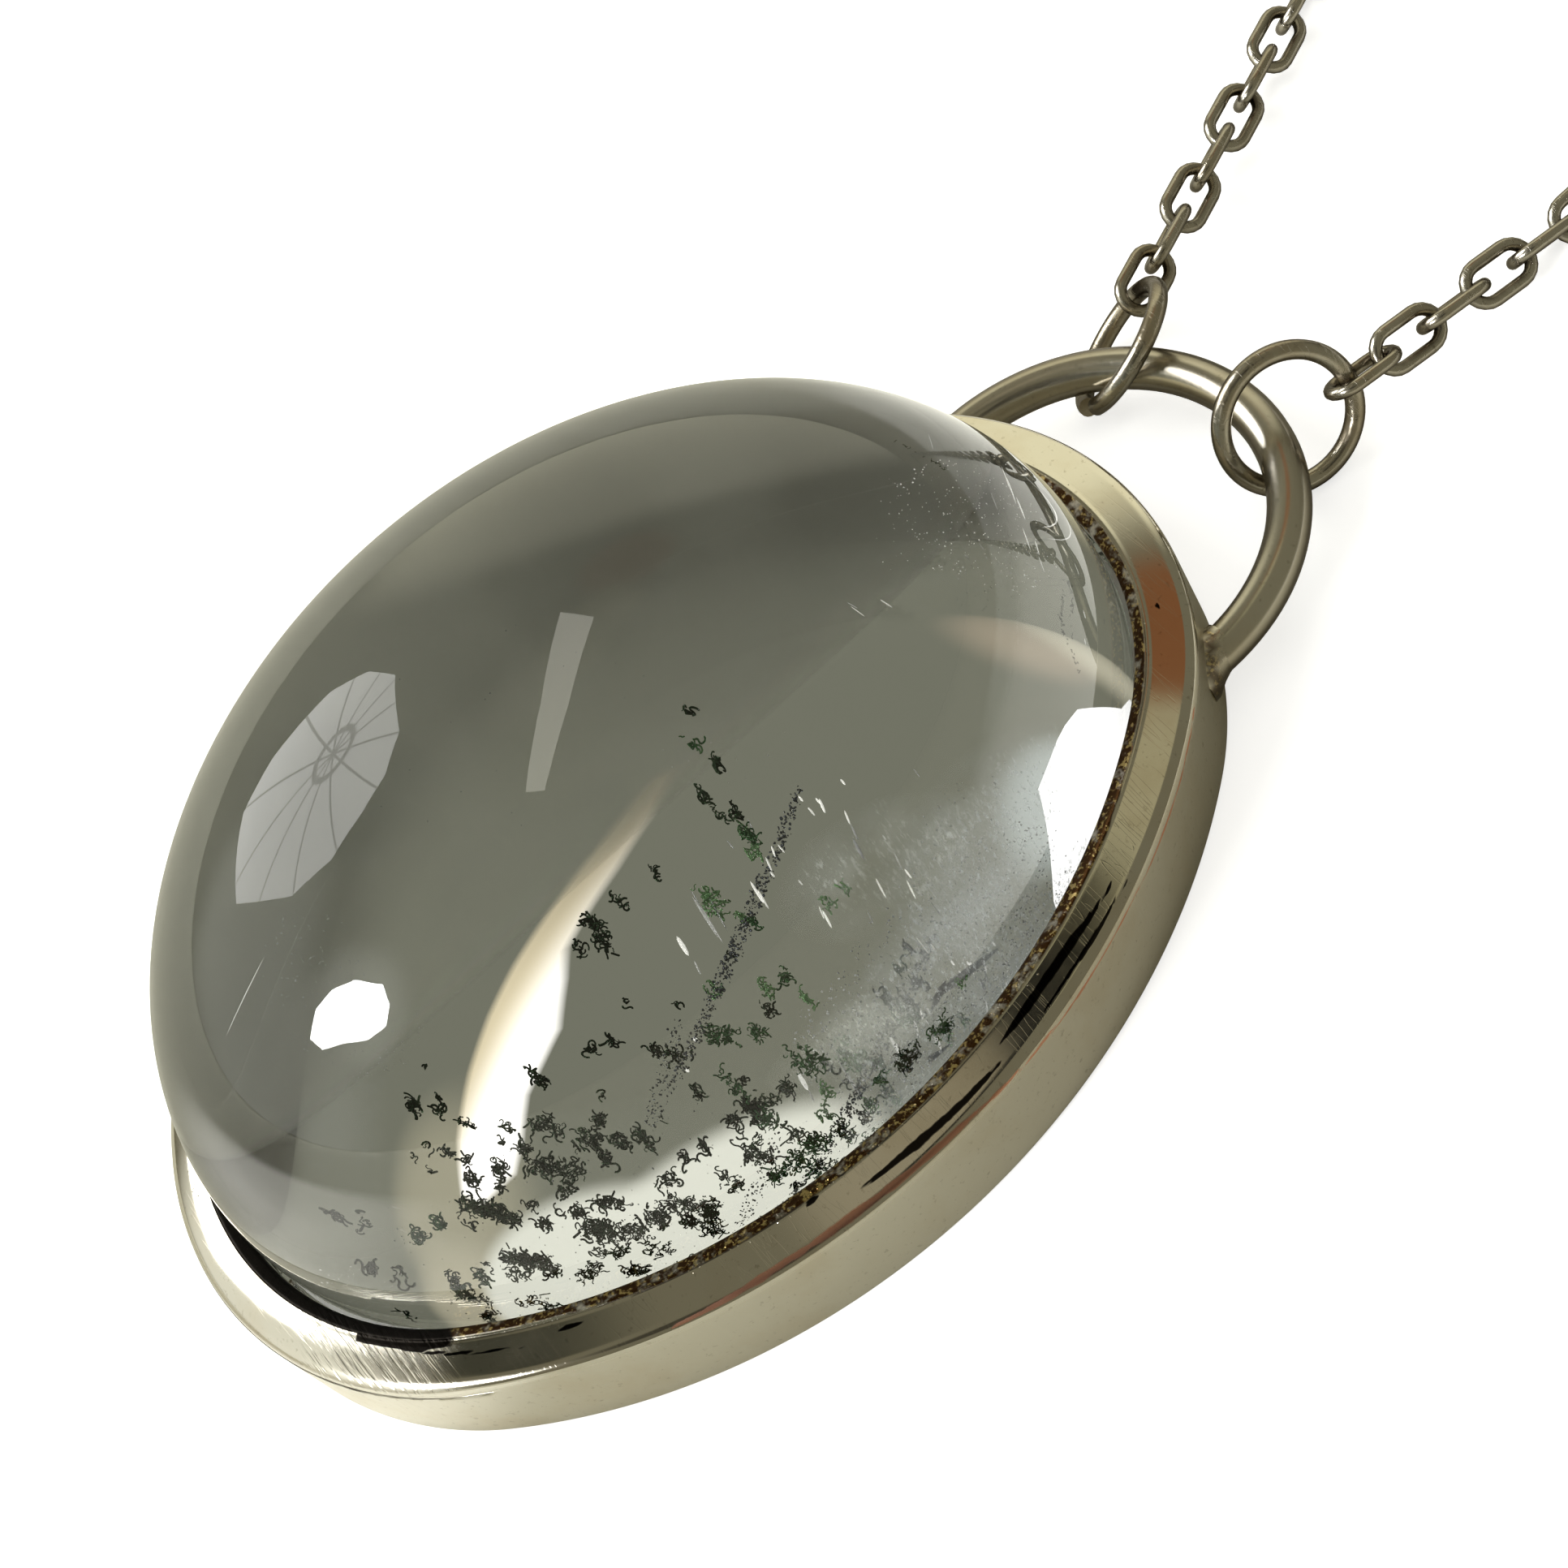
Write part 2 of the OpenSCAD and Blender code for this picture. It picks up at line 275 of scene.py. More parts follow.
def edit_all():
    """Opens the active piece for editing, with all of it selected."""
    bpy.ops.object.mode_set(mode="EDIT")
    bpy.ops.mesh.select_all(action="SELECT")


def end_edit():
    bpy.ops.object.mode_set(mode="OBJECT")


def glowing_panel(name, middle, corners, colour, strength, through=False, border=0):
    """A light panel a metre away, with its middle and corners at listed heights and bearings.

    It is seen in the mirror images on the outside or, if through is set, only through the
    stone. A border fades out toward the edge."""
    panel = add_shape(bpy.ops.mesh.primitive_circle_add, vertices=len(corners), radius=0.5, fill_type="NGON")
    panel.name = name
    panel.rotation_mode = "QUATERNION"
    panel.rotation_quaternion = toward(*middle).to_track_quat("Z", "Y")
    panel.location = toward(*middle)
    bpy.context.view_layer.update()
    flat = [on_panel(panel, corner) for corner in corners]
    for number, vertex in enumerate(panel.data.vertices):
        along = (flat[(number + 1) % len(flat)] - flat[number - 1]).normalized()
        vertex.co = flat[number] + border * 0.6 * Vector((-along.y, along.x, 0))
    if border:
        edit_all()
        bpy.ops.mesh.inset(thickness=border)
        end_edit()
    rim = len(corners) if border else 0
    store(panel.data, "full", [float(vertex.index >= rim) for vertex in panel.data.vertices])
    panel.visible_camera = panel.visible_shadow = False
    panel.visible_glossy = panel.visible_diffuse = not through
    panel.visible_transmission = through
    glow, tree, shader = node_material(name)
    feed(shader, {"Base Color": (0, 0, 0), "Emission Color": colour, "Emission Strength": strength,
                  "Alpha": attribute(tree, "full")})
    panel.data.materials.append(glow)
    panel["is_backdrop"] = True
    return panel, shader


UMBRELLA_MIDDLE, UMBRELLA_LIGHT = (42.5, 210.5), 4.2
UMBRELLA_WAYS = [
    (36.5, 192.5), (46.5, 192.5), (60, 210), (61, 227.5), (56.5, 237.5), (48.5, 244.5), (37.5, 242),
    (20, 228), (18.5, 221.5), (15.5, 211), (19, 204.5), (27.5, 196)]
HALF_SPOKE_STEP, HUB_RADIUS, RIB_SHADE = math.pi / 12, 0.075, 0.55
shader = glowing_panel("umbrella", UMBRELLA_MIDDLE, UMBRELLA_WAYS, (1, 1, 0.97), UMBRELLA_LIGHT)[1]
cloth = axes(own_place(shader.id_data))
from_hub = maths("SQRT", plus(maths("POWER", cloth["X"], 2.0), maths("POWER", cloth["Y"], 2.0)))
from_spoke = times(maths("PINGPONG", maths("ARCTAN2", cloth["Y"], cloth["X"]), HALF_SPOKE_STEP), from_hub)
spokes = smooth_step(from_spoke, 0.006, 0.002)
hub = smooth_step(maths("ABSOLUTE", minus(from_hub, HUB_RADIUS)), 0.016, 0.006)
lit = minus(1.0, times(maths("MAXIMUM", spokes, hub), RIB_SHADE))
feed(shader, {"Emission Strength": times(lit, UMBRELLA_LIGHT)})
WINDOW_WAYS = [
    (22.5, 271.5), (28.5, 270.5), (33.5, 273.5), (37, 280), (37, 289.5), (33, 293), (28.5, 293),
    (25.5, 288.5), (24, 281.5), (21.5, 276)]
glowing_panel("window", (30, 282), WINDOW_WAYS, (1, 1, 1), 30.0)
STRIP_WAYS = [(66, 141.5), (68.5, 120), (80.5, 44), (68.5, 345), (71, 335), (86.5, 71)]
strip = glowing_panel("strip", (84.5, 72), STRIP_WAYS, (1, 0.97, 0.85), 3.0)[0]

# Edge of the white patch at the right of the stone, then far round behind the rim
PATCH_WAYS = [
    (29.5, 243), (32.5, 237), (42.5, 228.5), (44, 223.5), (44.5, 220), (44.5, 211), (41, 207), (38, 204),
    (35, 201.5), (23.5, 196), (8.5, 205), (8.5, 233)]
glowing_panel("umbrella_through", (28.5, 221.5), PATCH_WAYS, (1, 1, 1), 1.4, through=True)
# Right edge of the warm streak downward, then its left edge upward
STREAK_WAYS = [
    (76.5, 199), (73.5, 183), (71.5, 173), (69.5, 164.5), (68, 160.5), (65.5, 159.5), (62, 157.5),
    (60.5, 154.5), (58.5, 151), (55, 149), (52.5, 147), (50.5, 140), (52, 136.5), (57.5, 136.5), (63, 139),
    (67, 143), (70, 148.5), (73, 159), (75.5, 174), (77.5, 194)]
STREAK_TIP, STREAK_FOOT, STREAK_LEFT, STREAK_RIGHT = (76.5, 199), (60.5, 148), (69, 146.5), (64, 158.5)
STREAK_AMBER, STREAK_WHITE = (1.0, 0.87, 0.58), (1.0, 0.98, 0.93)
streak, shader = glowing_panel("strip_through", (67, 151), STREAK_WAYS, (1, 1, 1), 1,
                               through=True, border=0.018)


def share_between(panel, shader, first, last):
    """Runs from 0 to 1 over a panel, between the places that are seen in two directions."""
    first, last = on_panel(panel, first), on_panel(panel, last)
    step = (last - first) / (last - first).length_squared
    return minus(vector_maths("DOT_PRODUCT", own_place(shader.id_data), step), first.dot(step))


downward = smooth_step(share_between(streak, shader, STREAK_TIP, STREAK_FOOT), 0.0, 0.85)
rightward = smooth_step(share_between(streak, shader, STREAK_LEFT, STREAK_RIGHT), 0.1, 0.9)
glow = times(plus(0.45, times(downward, 1.2)), plus(0.5, times(rightward, 0.5)))
feed(shader, {"Emission Color": blend(rightward, STREAK_AMBER, STREAK_WHITE), "Emission Strength": glow})

fill_data = bpy.data.lights.new("fill_above", "AREA")
fill_data.size = 1.4
fill_data.energy = 4.0
fill = bpy.data.objects.new("fill_above", fill_data)
scene.collection.objects.link(fill)
fill.location = (0.1, 0.1, 1.2)
fill.visible_glossy = fill.visible_transmission = fill.visible_camera = False

# Silver setting. An upright strip is bent to an oval and soldered to a closed
# back, a polished sloping rim is worked in over the stone, and a loop of round
# wire is soldered to the top end. Polished silver with a satin wall.
HALF_WIDTH, HALF_LENGTH, END_RADIUS = 15.0, 20.0, 12.3
END_Y = HALF_LENGTH - END_RADIUS
SIDE_RADIUS = (HALF_WIDTH**2 + HALF_LENGTH**2 - 2 * HALF_LENGTH * END_RADIUS) / 2 / (HALF_WIDTH - END_RADIUS)
SIDE_X = SIDE_RADIUS - HALF_WIDTH
JOIN = math.atan2(END_Y, SIDE_X)

# Inset from the outer oval and height, from the back up the wall, over the rim and down to the ledge
RIM_SECTION = [
    (1.70, 0.0), (0.9, 0.0), (0.28, 0.0), (0.12, 0.04), (0.03, 0.13), (0.0, 0.28), (0.0, 1.2), (0.0, 2.4),
    (0.0, 3.1), (0.0, 3.4), (0.0, 3.5), (0.005, 3.6), (0.012, 3.68), (0.025, 3.76), (0.05, 3.84),
    (0.08, 3.89), (0.12, 3.94), (0.17, 3.98), (0.22, 4.01), (0.29, 4.045)]
RIM_SECTION += [(0.37 + 0.08 * step, 4.068 + 0.0183 * step) for step in range(13)]
RIM_SECTION += [
    (1.40, 4.305), (1.45, 4.33), (1.50, 4.34), (1.56, 4.335), (1.63, 4.31), (1.72, 4.27), (1.86, 4.21),
    (1.96, 4.15), (2.0, 4.08), (2.0, 3.9), (2.0, 3.62), (1.9, 3.6), (1.7, 3.58), (1.70, 3.0), (1.70, 1.6),
    (1.70, 0.8)]


def trace(points):
    """Draws a chain of edges through the points, from one corner of a plane."""
    line = add_shape(bpy.ops.mesh.primitive_plane_add, size=MM, location=points[0])
    edit_all()
    bpy.ops.mesh.merge(type="CENTER")
    for here, there in zip(points, points[1:]):
        step = Vector(there) - Vector(here)
        bpy.ops.mesh.extrude_region_move(TRANSFORM_OT_translate={"value": step})
    end_edit()
    bpy.ops.object.transform_apply(location=True, rotation=False, scale=False)
    return line


def spin_on(angle, centre, steps):
    """Sweeps what is selected about Z by an angle in degrees, counter-clockwise."""
    bpy.ops.mesh.spin(steps=steps, angle=-math.radians(angle), center=centre, axis=(0, 0, 1))


def take_up(*pieces):
    """Selects these pieces alone, the first of them active."""
    bpy.ops.object.select_all(action="DESELECT")
    for piece in pieces:
        piece.select_set(True)
    bpy.context.view_layer.objects.active = pieces[0]


def seal(piece, gap, sharp=35):
    """Merges double points, turns the faces outward and smooths all but sharp edges."""
    take_up(piece)
    edit_all()
    bpy.ops.mesh.remove_doubles(threshold=gap * MM)
    bpy.ops.mesh.normals_make_consistent(inside=False)
    end_edit()
    bpy.ops.object.shade_smooth_by_angle(angle=math.radians(sharp))


def close_ends(piece):
    """Merges double points and puts a face into each open ring of edges."""
    take_up(piece)
    edit_all()
    bpy.ops.mesh.remove_doubles(threshold=0.002 * MM)
    bpy.ops.mesh.select_mode(type="EDGE")
    bpy.ops.mesh.select_all(action="DESELECT")
    bpy.ops.mesh.select_non_manifold(
        extend=False, use_wire=False, use_multi_face=False, use_non_contiguous=False, use_verts=False)
    bpy.ops.mesh.fill_holes(sides=0)
    bpy.ops.mesh.select_mode(type="VERT")
    end_edit()


def join(pieces, name):
    """Makes one mesh of one or more pieces, with their places in it, and names it."""
    take_up(*pieces)
    if len(pieces) > 1:
        bpy.ops.object.join()
    joined = bpy.context.object
    bpy.ops.object.transform_apply()
    joined.name = joined.data.name = name
    return joined


def turned_wire(radius, sides, bend, start, sweep, steps):
    """A ring of round wire about the Z axis, from a start angle on by a sweep, in degrees."""
    turn = math.radians(start)
    place = (bend * math.cos(turn) * MM, bend * math.sin(turn) * MM, 0)
    wire = add_shape(bpy.ops.mesh.primitive_circle_add, vertices=sides, radius=radius * MM,
                     rotation=(math.pi / 2, 0, turn), location=place)
    bpy.ops.object.transform_apply()
    edit_all()
    spin_on(sweep, (0, 0, 0), steps)
    end_edit()
    return wire


wall = trace([
    ((-SIDE_X + (SIDE_RADIUS - i) * math.cos(JOIN)) * MM, -(SIDE_RADIUS - i) * math.sin(JOIN) * MM, z * MM)
    for i, z in RIM_SECTION])
edit_all()
WALL_STEPS = 84
for turn in (1, -1):
    spin_on(math.degrees(2 * JOIN), (-SIDE_X * turn * MM, 0, 0), WALL_STEPS)
    spin_on(180 - math.degrees(2 * JOIN), (0, END_Y * turn * MM, 0), WALL_STEPS)
end_edit()
close_ends(wall)

LOOP_Y, LOOP_Z, LOOP_RADIUS, LOOP_WIRE, WIRE_SIDES = 18.06, 2.0, 7.12, 0.75, 28
LOOP_START, LOOP_SWEEP, LOOP_STEPS, FOOT_LEAN = -9, 198, 66, 4
loop = turned_wire(LOOP_WIRE, WIRE_SIDES, LOOP_RADIUS, LOOP_START, LOOP_SWEEP, LOOP_STEPS)
close_ends(loop)
loop.location = (0, LOOP_Y * MM, LOOP_Z * MM)
feet = []
# Length from the wall and radius of the solder that runs up the wire
FOOT_SECTION = [(-0.3, 1.2), (0.0, 1.15), (0.2, 1.04), (0.45, 0.93), (0.75, 0.84), (1.1, 0.78), (1.4, 0.752)]
for side in (-1, 1):
    foot = trace([(r * MM, 0, l * MM) for l, r in FOOT_SECTION])
    edit_all()
    spin_on(360, (0, 0, 0), WIRE_SIDES)
    end_edit()
    close_ends(foot)
    foot.rotation_euler = (math.radians(-90), 0, math.radians(side * FOOT_LEAN))
    foot.location = (side * (LOOP_RADIUS - 0.02) * MM, (LOOP_Y - 1) * MM, LOOP_Z * MM)
    feet.append(foot)


def rim_place(turn, inset, height):
    """Point beside the oval, at the angle that the wall faces there and at an inset from it."""
    way = Vector((math.cos(math.radians(turn)), math.sin(math.radians(turn)), 0))
    if abs(way.y) < math.sin(JOIN):
        middle, reach = Vector((-math.copysign(SIDE_X, way.x), 0, 0)), SIDE_RADIUS
    else:
        middle, reach = Vector((0, math.copysign(END_Y, way.y), 0)), END_RADIUS
    return (middle + way * (reach - inset) + Vector((0, 0, height))) * MM


def rim_spot(x, y):
    """The facing in degrees, from -130 to 230, and the inset at a place in millimetres."""
    if abs(y) * SIDE_X < END_Y * (abs(x) + SIDE_X):
        x, reach = x + math.copysign(SIDE_X, x), SIDE_RADIUS
    else:
        y, reach = y - math.copysign(END_Y, y), END_RADIUS
    return (math.degrees(math.atan2(y, x)) + 130) % 360 - 130, reach - math.hypot(x, y)


def scatter(prototypes, places, name, marks=None):
    """Copies small pieces in turn to many places, joins the copies and drops the first ones.

    Each copy takes a number of its own from the marks, kept as the attribute mark."""
    copies = []
    for number, place in enumerate(places):
        mesh = prototypes[number % len(prototypes)].data.copy()
        mesh.transform(place)
        if marks:
            store(mesh, "mark", [marks[number]] * len(mesh.vertices))
        copied = bpy.data.objects.new(f"{name}_{number}", mesh)
        scene.collection.objects.link(copied)
        copies.append(copied)
    for prototype in prototypes:
        bpy.data.objects.remove(prototype)
    return join(copies, name)


def at_random(rng, centre, size, least=0.5):
    """A place with any turn, and a size along each axis that is at least a share of the given one."""
    turn = Euler([rng.uniform(0, 2 * math.pi) for axis in range(3)]).to_matrix().to_4x4()
    sizes = [size * rng.uniform(least, 1) for axis in range(3)]
    return Matrix.Translation(centre) @ turn @ Matrix.Diagonal((*sizes, 1))


# Stretches of the rim with crumbs of solder at the stone: first and last angle, count, spread, size
CRUMB_RUNS = [
    (338, 378, 420, 0.14, 0.07), (318, 338, 80, 0.1, 0.05), (40, 106, 140, 0.12, 0.05),
    (228, 256, 160, 0.4, 0.07), (268, 318, 60, 0.12, 0.05), (126, 228, 60, 0.1, 0.05)]
CRUMB_INSET, CRUMB_NEAREST, CRUMB_FARTHEST, CRUMB_Z = 1.66, 0.9, 1.93, 4.32
rng = random.Random(11)
crumb = add_shape(bpy.ops.mesh.primitive_ico_sphere_add, subdivisions=1, radius=1)
crumb_places = []
for first, last, count, spread, size in CRUMB_RUNS:
    for number in range(count):
        inset = min(max(CRUMB_INSET + rng.gauss(0, spread), CRUMB_NEAREST), CRUMB_FARTHEST)
        height = CRUMB_Z - max(0, inset - 1.6) * 0.5 - max(0, 1.5 - inset) * 0.2
        place = rim_place(rng.uniform(first, last), inset, height)
        crumb_places.append(at_random(rng, place, size * rng.uniform(0.3, 0.8) * MM))
crumbs = scatter([crumb], crumb_places, "crumbs")

setting = join([wall, loop, *feet, crumbs], "silver_setting")
seal(setting, 0.0005)
# Dark slits and pits in the rim, painted black as dark reflections, and the copper line at its outer ridge:
# points of facing, inset (less than 0 down the wall) and half width
SLITS = [
    [(9.5, 0.90, 0.05), (12, 0.94, 0.17), (15, 0.97, 0.24), (19, 0.90, 0.2), (24, 0.68, 0.04)],
    [(13.5, 0.47, 0.03), (16, 0.46, 0.08), (19, 0.40, 0.12), (22, 0.36, 0.08), (25, 0.30, 0.03)],
    [(-5, 0.74, 0.04), (-2, 0.71, 0.18), (1, 0.66, 0.24), (5, 0.58, 0.2), (9, 0.55, 0.05)],
    [(-9.2, 1.34, 0.12), (-8, 1.34, 0.12)], [(-29.8, 1.18, 0.12), (-28.2, 1.18, 0.12)],
    [(58.8, 1.06, 0.10), (60.4, 1.0, 0.09)], [(-50, 1.35, 0.10), (-33, 0.95, 0.05)]]
COPPER = [
    (-22, 0.12, 0.05), (-19, 0.14, 0.13), (-13, 0.25, 0.16), (-6, 0.26, 0.18), (-2, 0.22, 0.17),
    (4.5, 0.10, 0.14), (9.5, -0.12, 0.09), (15.5, -0.27, 0.08), (23, -0.27, 0.07), (33, -0.36, 0.07),
    (42, -0.1, 0.05)]


def near_line(points, facing, inset):
    """1 on a drawn line and 0 a half width beside it or beyond its ends."""
    for (a, inset_a, half_a), (b, inset_b, half_b) in zip(points, points[1:]):
        if a <= facing <= b:
            share = (facing - a) / (b - a)
            beside = abs(inset - inset_a - share * (inset_b - inset_a))
            return max(0.0, 1 - beside / (half_a + share * (half_b - half_a)))
    return 0.0


def within(value, low, high, fade):
    """1 between two limits and 0 beyond them, fading over a width inside each."""
    return min(max(min(value - low, high - value) / fade, 0), 1)


# What is filed off the rim by the foot, between two bearings, and how far in
FILED_DEPTH, FILED_BEARINGS, FILED_INSET = 0.32, (232, 312, 22), 1.5
# Insets just outside the oval and at the ledge, and heights where the rim, its top and its ridge begin
OUTSIDE, LEDGE, RIM_Z, TOP_Z, RIDGE_Z = -0.02, 1.65, 3.45, 3.7, 3.94
# Inset where the seat by the stone, painted dark brown as shade in the gap, begins and how much farther out
# it reaches between two facings
SEAT_INSET, SEAT_SPREAD, SEAT_FACINGS = 1.57, 0.14, (-30, 36, 8)
# Facings and insets where the seat by the stone is painted black as shade in the gap
SEAT_SHADE_FACINGS, SEAT_SHADE_INSET, SEAT_SHADE_INSET_LEFT = (-128, -36, 10), 1.28, 1.55
masks = {name: [] for name in ("polish", "dirt_and_seat_shade", "copper", "painted_black", "wire")}
under_stone = []
for vertex in setting.data.vertices:
    x, y, z = (c / MM for c in vertex.co)
    facing, inset = rim_spot(x, y)
    if z > RIM_Z and OUTSIDE < inset < FILED_INSET:
        filed_away = within(math.degrees(math.atan2(y, x)) % 360, *FILED_BEARINGS)
        vertex.co.z -= FILED_DEPTH * filed_away * ((FILED_INSET - inset) / FILED_INSET)**2 * MM
    on_loop = inset < OUTSIDE
    on_rim = z > 3.75 and inset < 1.6
    in_seat = z > TOP_Z and inset > SEAT_INSET - SEAT_SPREAD * within(facing, *SEAT_FACINGS)
    masks["polish"].append(float(on_loop or on_rim))
    masks["wire"].append(float(on_loop))
    masks["dirt_and_seat_shade"].append(1.0 if in_seat else 0.75 if on_loop and inset > -0.3 else 0.0)
    under_stone.append(inset > LEDGE and 0.5 < z < 3.9)
    along = inset - max(0, RIDGE_Z - z)
    shown = z > 2.9 and OUTSIDE < inset < LEDGE
    masks["copper"].append(near_line(COPPER, facing, along) if shown else 0.0)
    # Slits are painted black as dark reflections, and the seat as shade in the gap
    slit = max(near_line(points, facing, along) for points in SLITS) if shown else 0.0
    blackened = z > TOP_Z and inset > (SEAT_SHADE_INSET_LEFT if facing < -58 else SEAT_SHADE_INSET)
    masks["painted_black"].append(max(slit, within(facing, *SEAT_SHADE_FACINGS) if blackened else 0.0))
for name, values in masks.items():
    store(setting.data, name, values)


def stretched(way, turn, scale):
    """The same coordinates turned about Z by an angle in degrees and then scaled along each axis."""
    made = add_node(way.id_data, "ShaderNodeMapping")
    return feed(made, {"Vector": way, "Rotation": (0, 0, math.radians(turn)), "Scale": scale})["Vector"]


# Wear of all the silver: yellow blotches, dark speckles and fine scratches in three directions
wear = bpy.data.node_groups.new("silver_wear", "ShaderNodeTree")
for name in ("Blotches", "Speckles", "Scratches"):
    wear.interface.new_socket(name=name, in_out="OUTPUT", socket_type="NodeSocketFloat")
wear_place = own_place(wear)
scratches = []
for turn, shift in ((20, 900), (75, 1100), (130, 1300)):
    lines = noise(stretched(wear_place, turn, (shift * 0.1, shift * 2.2, shift)), 1.0, 1.5)
    scratches.append(smooth_step(maths("ABSOLUTE", minus(lines, 0.62)), 0.008, 0.001))
feed(add_node(wear, "NodeGroupOutput"), {
    "Blotches": smooth_step(noise(wear_place, 260, 4, 0.6), 0.42, 0.68),
    "Speckles": smooth_step(noise(wear_place, 4200, 3, 0.6), 0.60, 0.74),
    "Scratches": maths("MAXIMUM", maths("MAXIMUM", scratches[0], scratches[1]), scratches[2])})


def worn_silver(name, clean, blotched, blotches, speckled, speckles):
    """A silver with shares of blotches and speckles: material, shader, colour, wear and own place."""
    material, tree, shader = node_material(name)
    wear_marks = add_node(tree, "ShaderNodeGroup", node_tree=wear).outputs
    colour = blend(times(wear_marks["Blotches"], blotches), clean, blotched)
    colour = blend(times(wear_marks["Speckles"], speckles), colour, speckled)
    return material, shader, colour, wear_marks, own_place(tree)


def bump(height, depth):
    """Normals of a surface that is raised where the height is high, by a depth in millimetres."""
    made = add_node(height.id_data, "ShaderNodeBump")
    return feed(made, {"Height": height, "Distance": depth * MM})["Normal"]


def painted_dark_edges(colour, share):
    """Paints dark brown shade on a wire where it turns away from the eye, by a share of the full depth."""
    turned = add_node(colour.id_data, "ShaderNodeLayerWeight").outputs["Facing"]
    return blend(times(smooth_step(turned, 0.12, 0.68), share), colour, (0.085, 0.062, 0.036))


DARK_REFLECTION_AND_SHADE, COPPER_RED = (0.016, 0.014, 0.012), (0.78, 0.40, 0.28)
SEAT_SHADE_BROWN, SEAT_GOLD = (0.075, 0.035, 0.012), (0.62, 0.47, 0.19)
setting_silver, shader, colour, wear_marks, place = worn_silver(
    "setting_silver", (0.77, 0.735, 0.64), (0.64, 0.55, 0.40), 0.35, (0.30, 0.26, 0.19), 0.35)
polished, soiled_and_shaded, wire, copper_line, painted_black = (
    attribute(shader.id_data, name) for name in ("polish", "dirt_and_seat_shade", "wire", "copper", "painted_black"))
grime = noise(place, 1500, 3, 0.65)
# Painted shade in the seat by the stone and dirt at the joint of the loop: dark brown flecked with gold
soil_and_shade = blend(smooth_step(noise(place, 5200, 2, 0.6), 0.52, 0.64), SEAT_SHADE_BROWN, SEAT_GOLD)
colour = blend(times(soiled_and_shaded, smooth_step(grime, 0.28, 0.5)), colour, soil_and_shade)
colour = painted_dark_edges(colour, times(wire, 0.85))
ragged = times(minus(noise(place, 1300, 3), 0.5), 0.9)
coppered = smooth_step(plus(copper_line, ragged), 0.25, 0.6)
colour = blend(coppered, colour, COPPER_RED)
# Painted black: dark reflections in the slits and shade in the gap at the stone
colour = blend(smooth_step(plus(painted_black, ragged), 0.28, 0.5), colour, DARK_REFLECTION_AND_SHADE)
# The foot of the rim was filed by hand and the marks were left in
filed = smooth_step(vector_maths("DISTANCE", place, rim_place(306, 1.1, 4.2)), 3.6 * MM, 1.6 * MM)
file_marks = smooth_step(noise(stretched(place, 60, (500, 7000, 500)), 1.0, 2.0, 0.6), 0.45, 0.62)
rough = minus(0.34, times(polished, 0.26))
for mask, added in (
        (soiled_and_shaded, 0.18), (wear_marks["Blotches"], 0.05), (coppered, 0.2), (wire, 0.13), (filed, 0.12)):
    rough = plus(rough, times(mask, added))
satin = times(noise(stretched(place, 0, (2600, 2600, 900)), 1.0, 4.0, 0.65), minus(1.0, polished))
height = minus(1.0, times(wear_marks["Scratches"], 0.03))
for mask, raised in ((times(filed, file_marks), -0.9), (times(soiled_and_shaded, grime), 3.0), (satin, 1.1)):
    height = plus(height, times(mask, raised))
feed(shader, {"Base Color": colour, "Metallic": 1.0, "Roughness": rough, "Normal": bump(height, 0.012)})

# The inside of the back, seen through the stone: matt white silver, with painted shade making it greyer
# toward the loop
silver_lining, tree, shader = node_material("silver_lining")
place = own_place(tree)
painted_shade_to_loop = smooth_step(axes(place)["Y"], -0.008, 0.010)
rough = times(smooth_step(noise(place, 260, 2, 0.6), 0.42, 0.68), 0.05)
feed(shader, {
    "Base Color": blend(painted_shade_to_loop, (0.97, 0.98, 0.90), (0.55, 0.55, 0.49)), "Metallic": 1.0,
    "Roughness": plus(0.54, rough)})
setting.data.materials.append(setting_silver)
setting.data.materials.append(silver_lining)
for face in setting.data.polygons:
    face.material_index = int(all(under_stone[corner] for corner in face.vertices))
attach(setting, "root")
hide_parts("setting")

# Quartz. One stone, cut to a high oval dome with a flat polished foot and a
# small ledge under the rim. It drops in from above and the rim holds it.
STONE_X, STONE_Y, STONE_H, STONE_Z = 12.85, 17.87, 15.0, 4.35
# Steps down from the foot of the dome: depth, then growth of the outline
STONE_STEPS = [(0.85, 0.0), (0.02, 0.28), (2.41, 0.0), (0.15, -0.15)]
stone = add_shape(bpy.ops.mesh.primitive_uv_sphere_add, segments=224, ring_count=112, radius=1)
edit_all()
bpy.ops.transform.resize(value=(STONE_X * MM, STONE_Y * MM, STONE_H * MM), center_override=(0, 0, 0))
bpy.ops.mesh.bisect(plane_co=(0, 0, 0.0001 * MM), plane_no=(0, 0, 1), clear_inner=True)
bpy.ops.mesh.select_all(action="SELECT")
bpy.ops.transform.translate(value=(0, 0, STONE_Z * MM))
bpy.ops.mesh.select_all(action="DESELECT")
bpy.ops.mesh.select_non_manifold()
for drop, grow in STONE_STEPS:
    bpy.ops.mesh.extrude_region_move(TRANSFORM_OT_translate={"value": (0, 0, -drop * MM)})
    ratio = (1 + grow / STONE_X, 1 + grow / STONE_Y, 1)
    bpy.ops.transform.resize(value=ratio, center_override=(0, 0, 0))
bpy.ops.mesh.edge_face_add()
end_edit()
seal(stone, 0.0005, 20)
join([stone], "quartz_stone")

quartz, tree, shader = node_material("quartz")
feed(shader, {
    "Base Color": blend(noise(own_place(tree), 90, 3), (0.96, 0.965, 0.95), (0.99, 0.99, 0.985)),
    "Transmission Weight": 1.0, "IOR": 1.544, "Roughness": 0.0})
stone.data.materials.append(quartz)
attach(stone, "root")
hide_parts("stone")
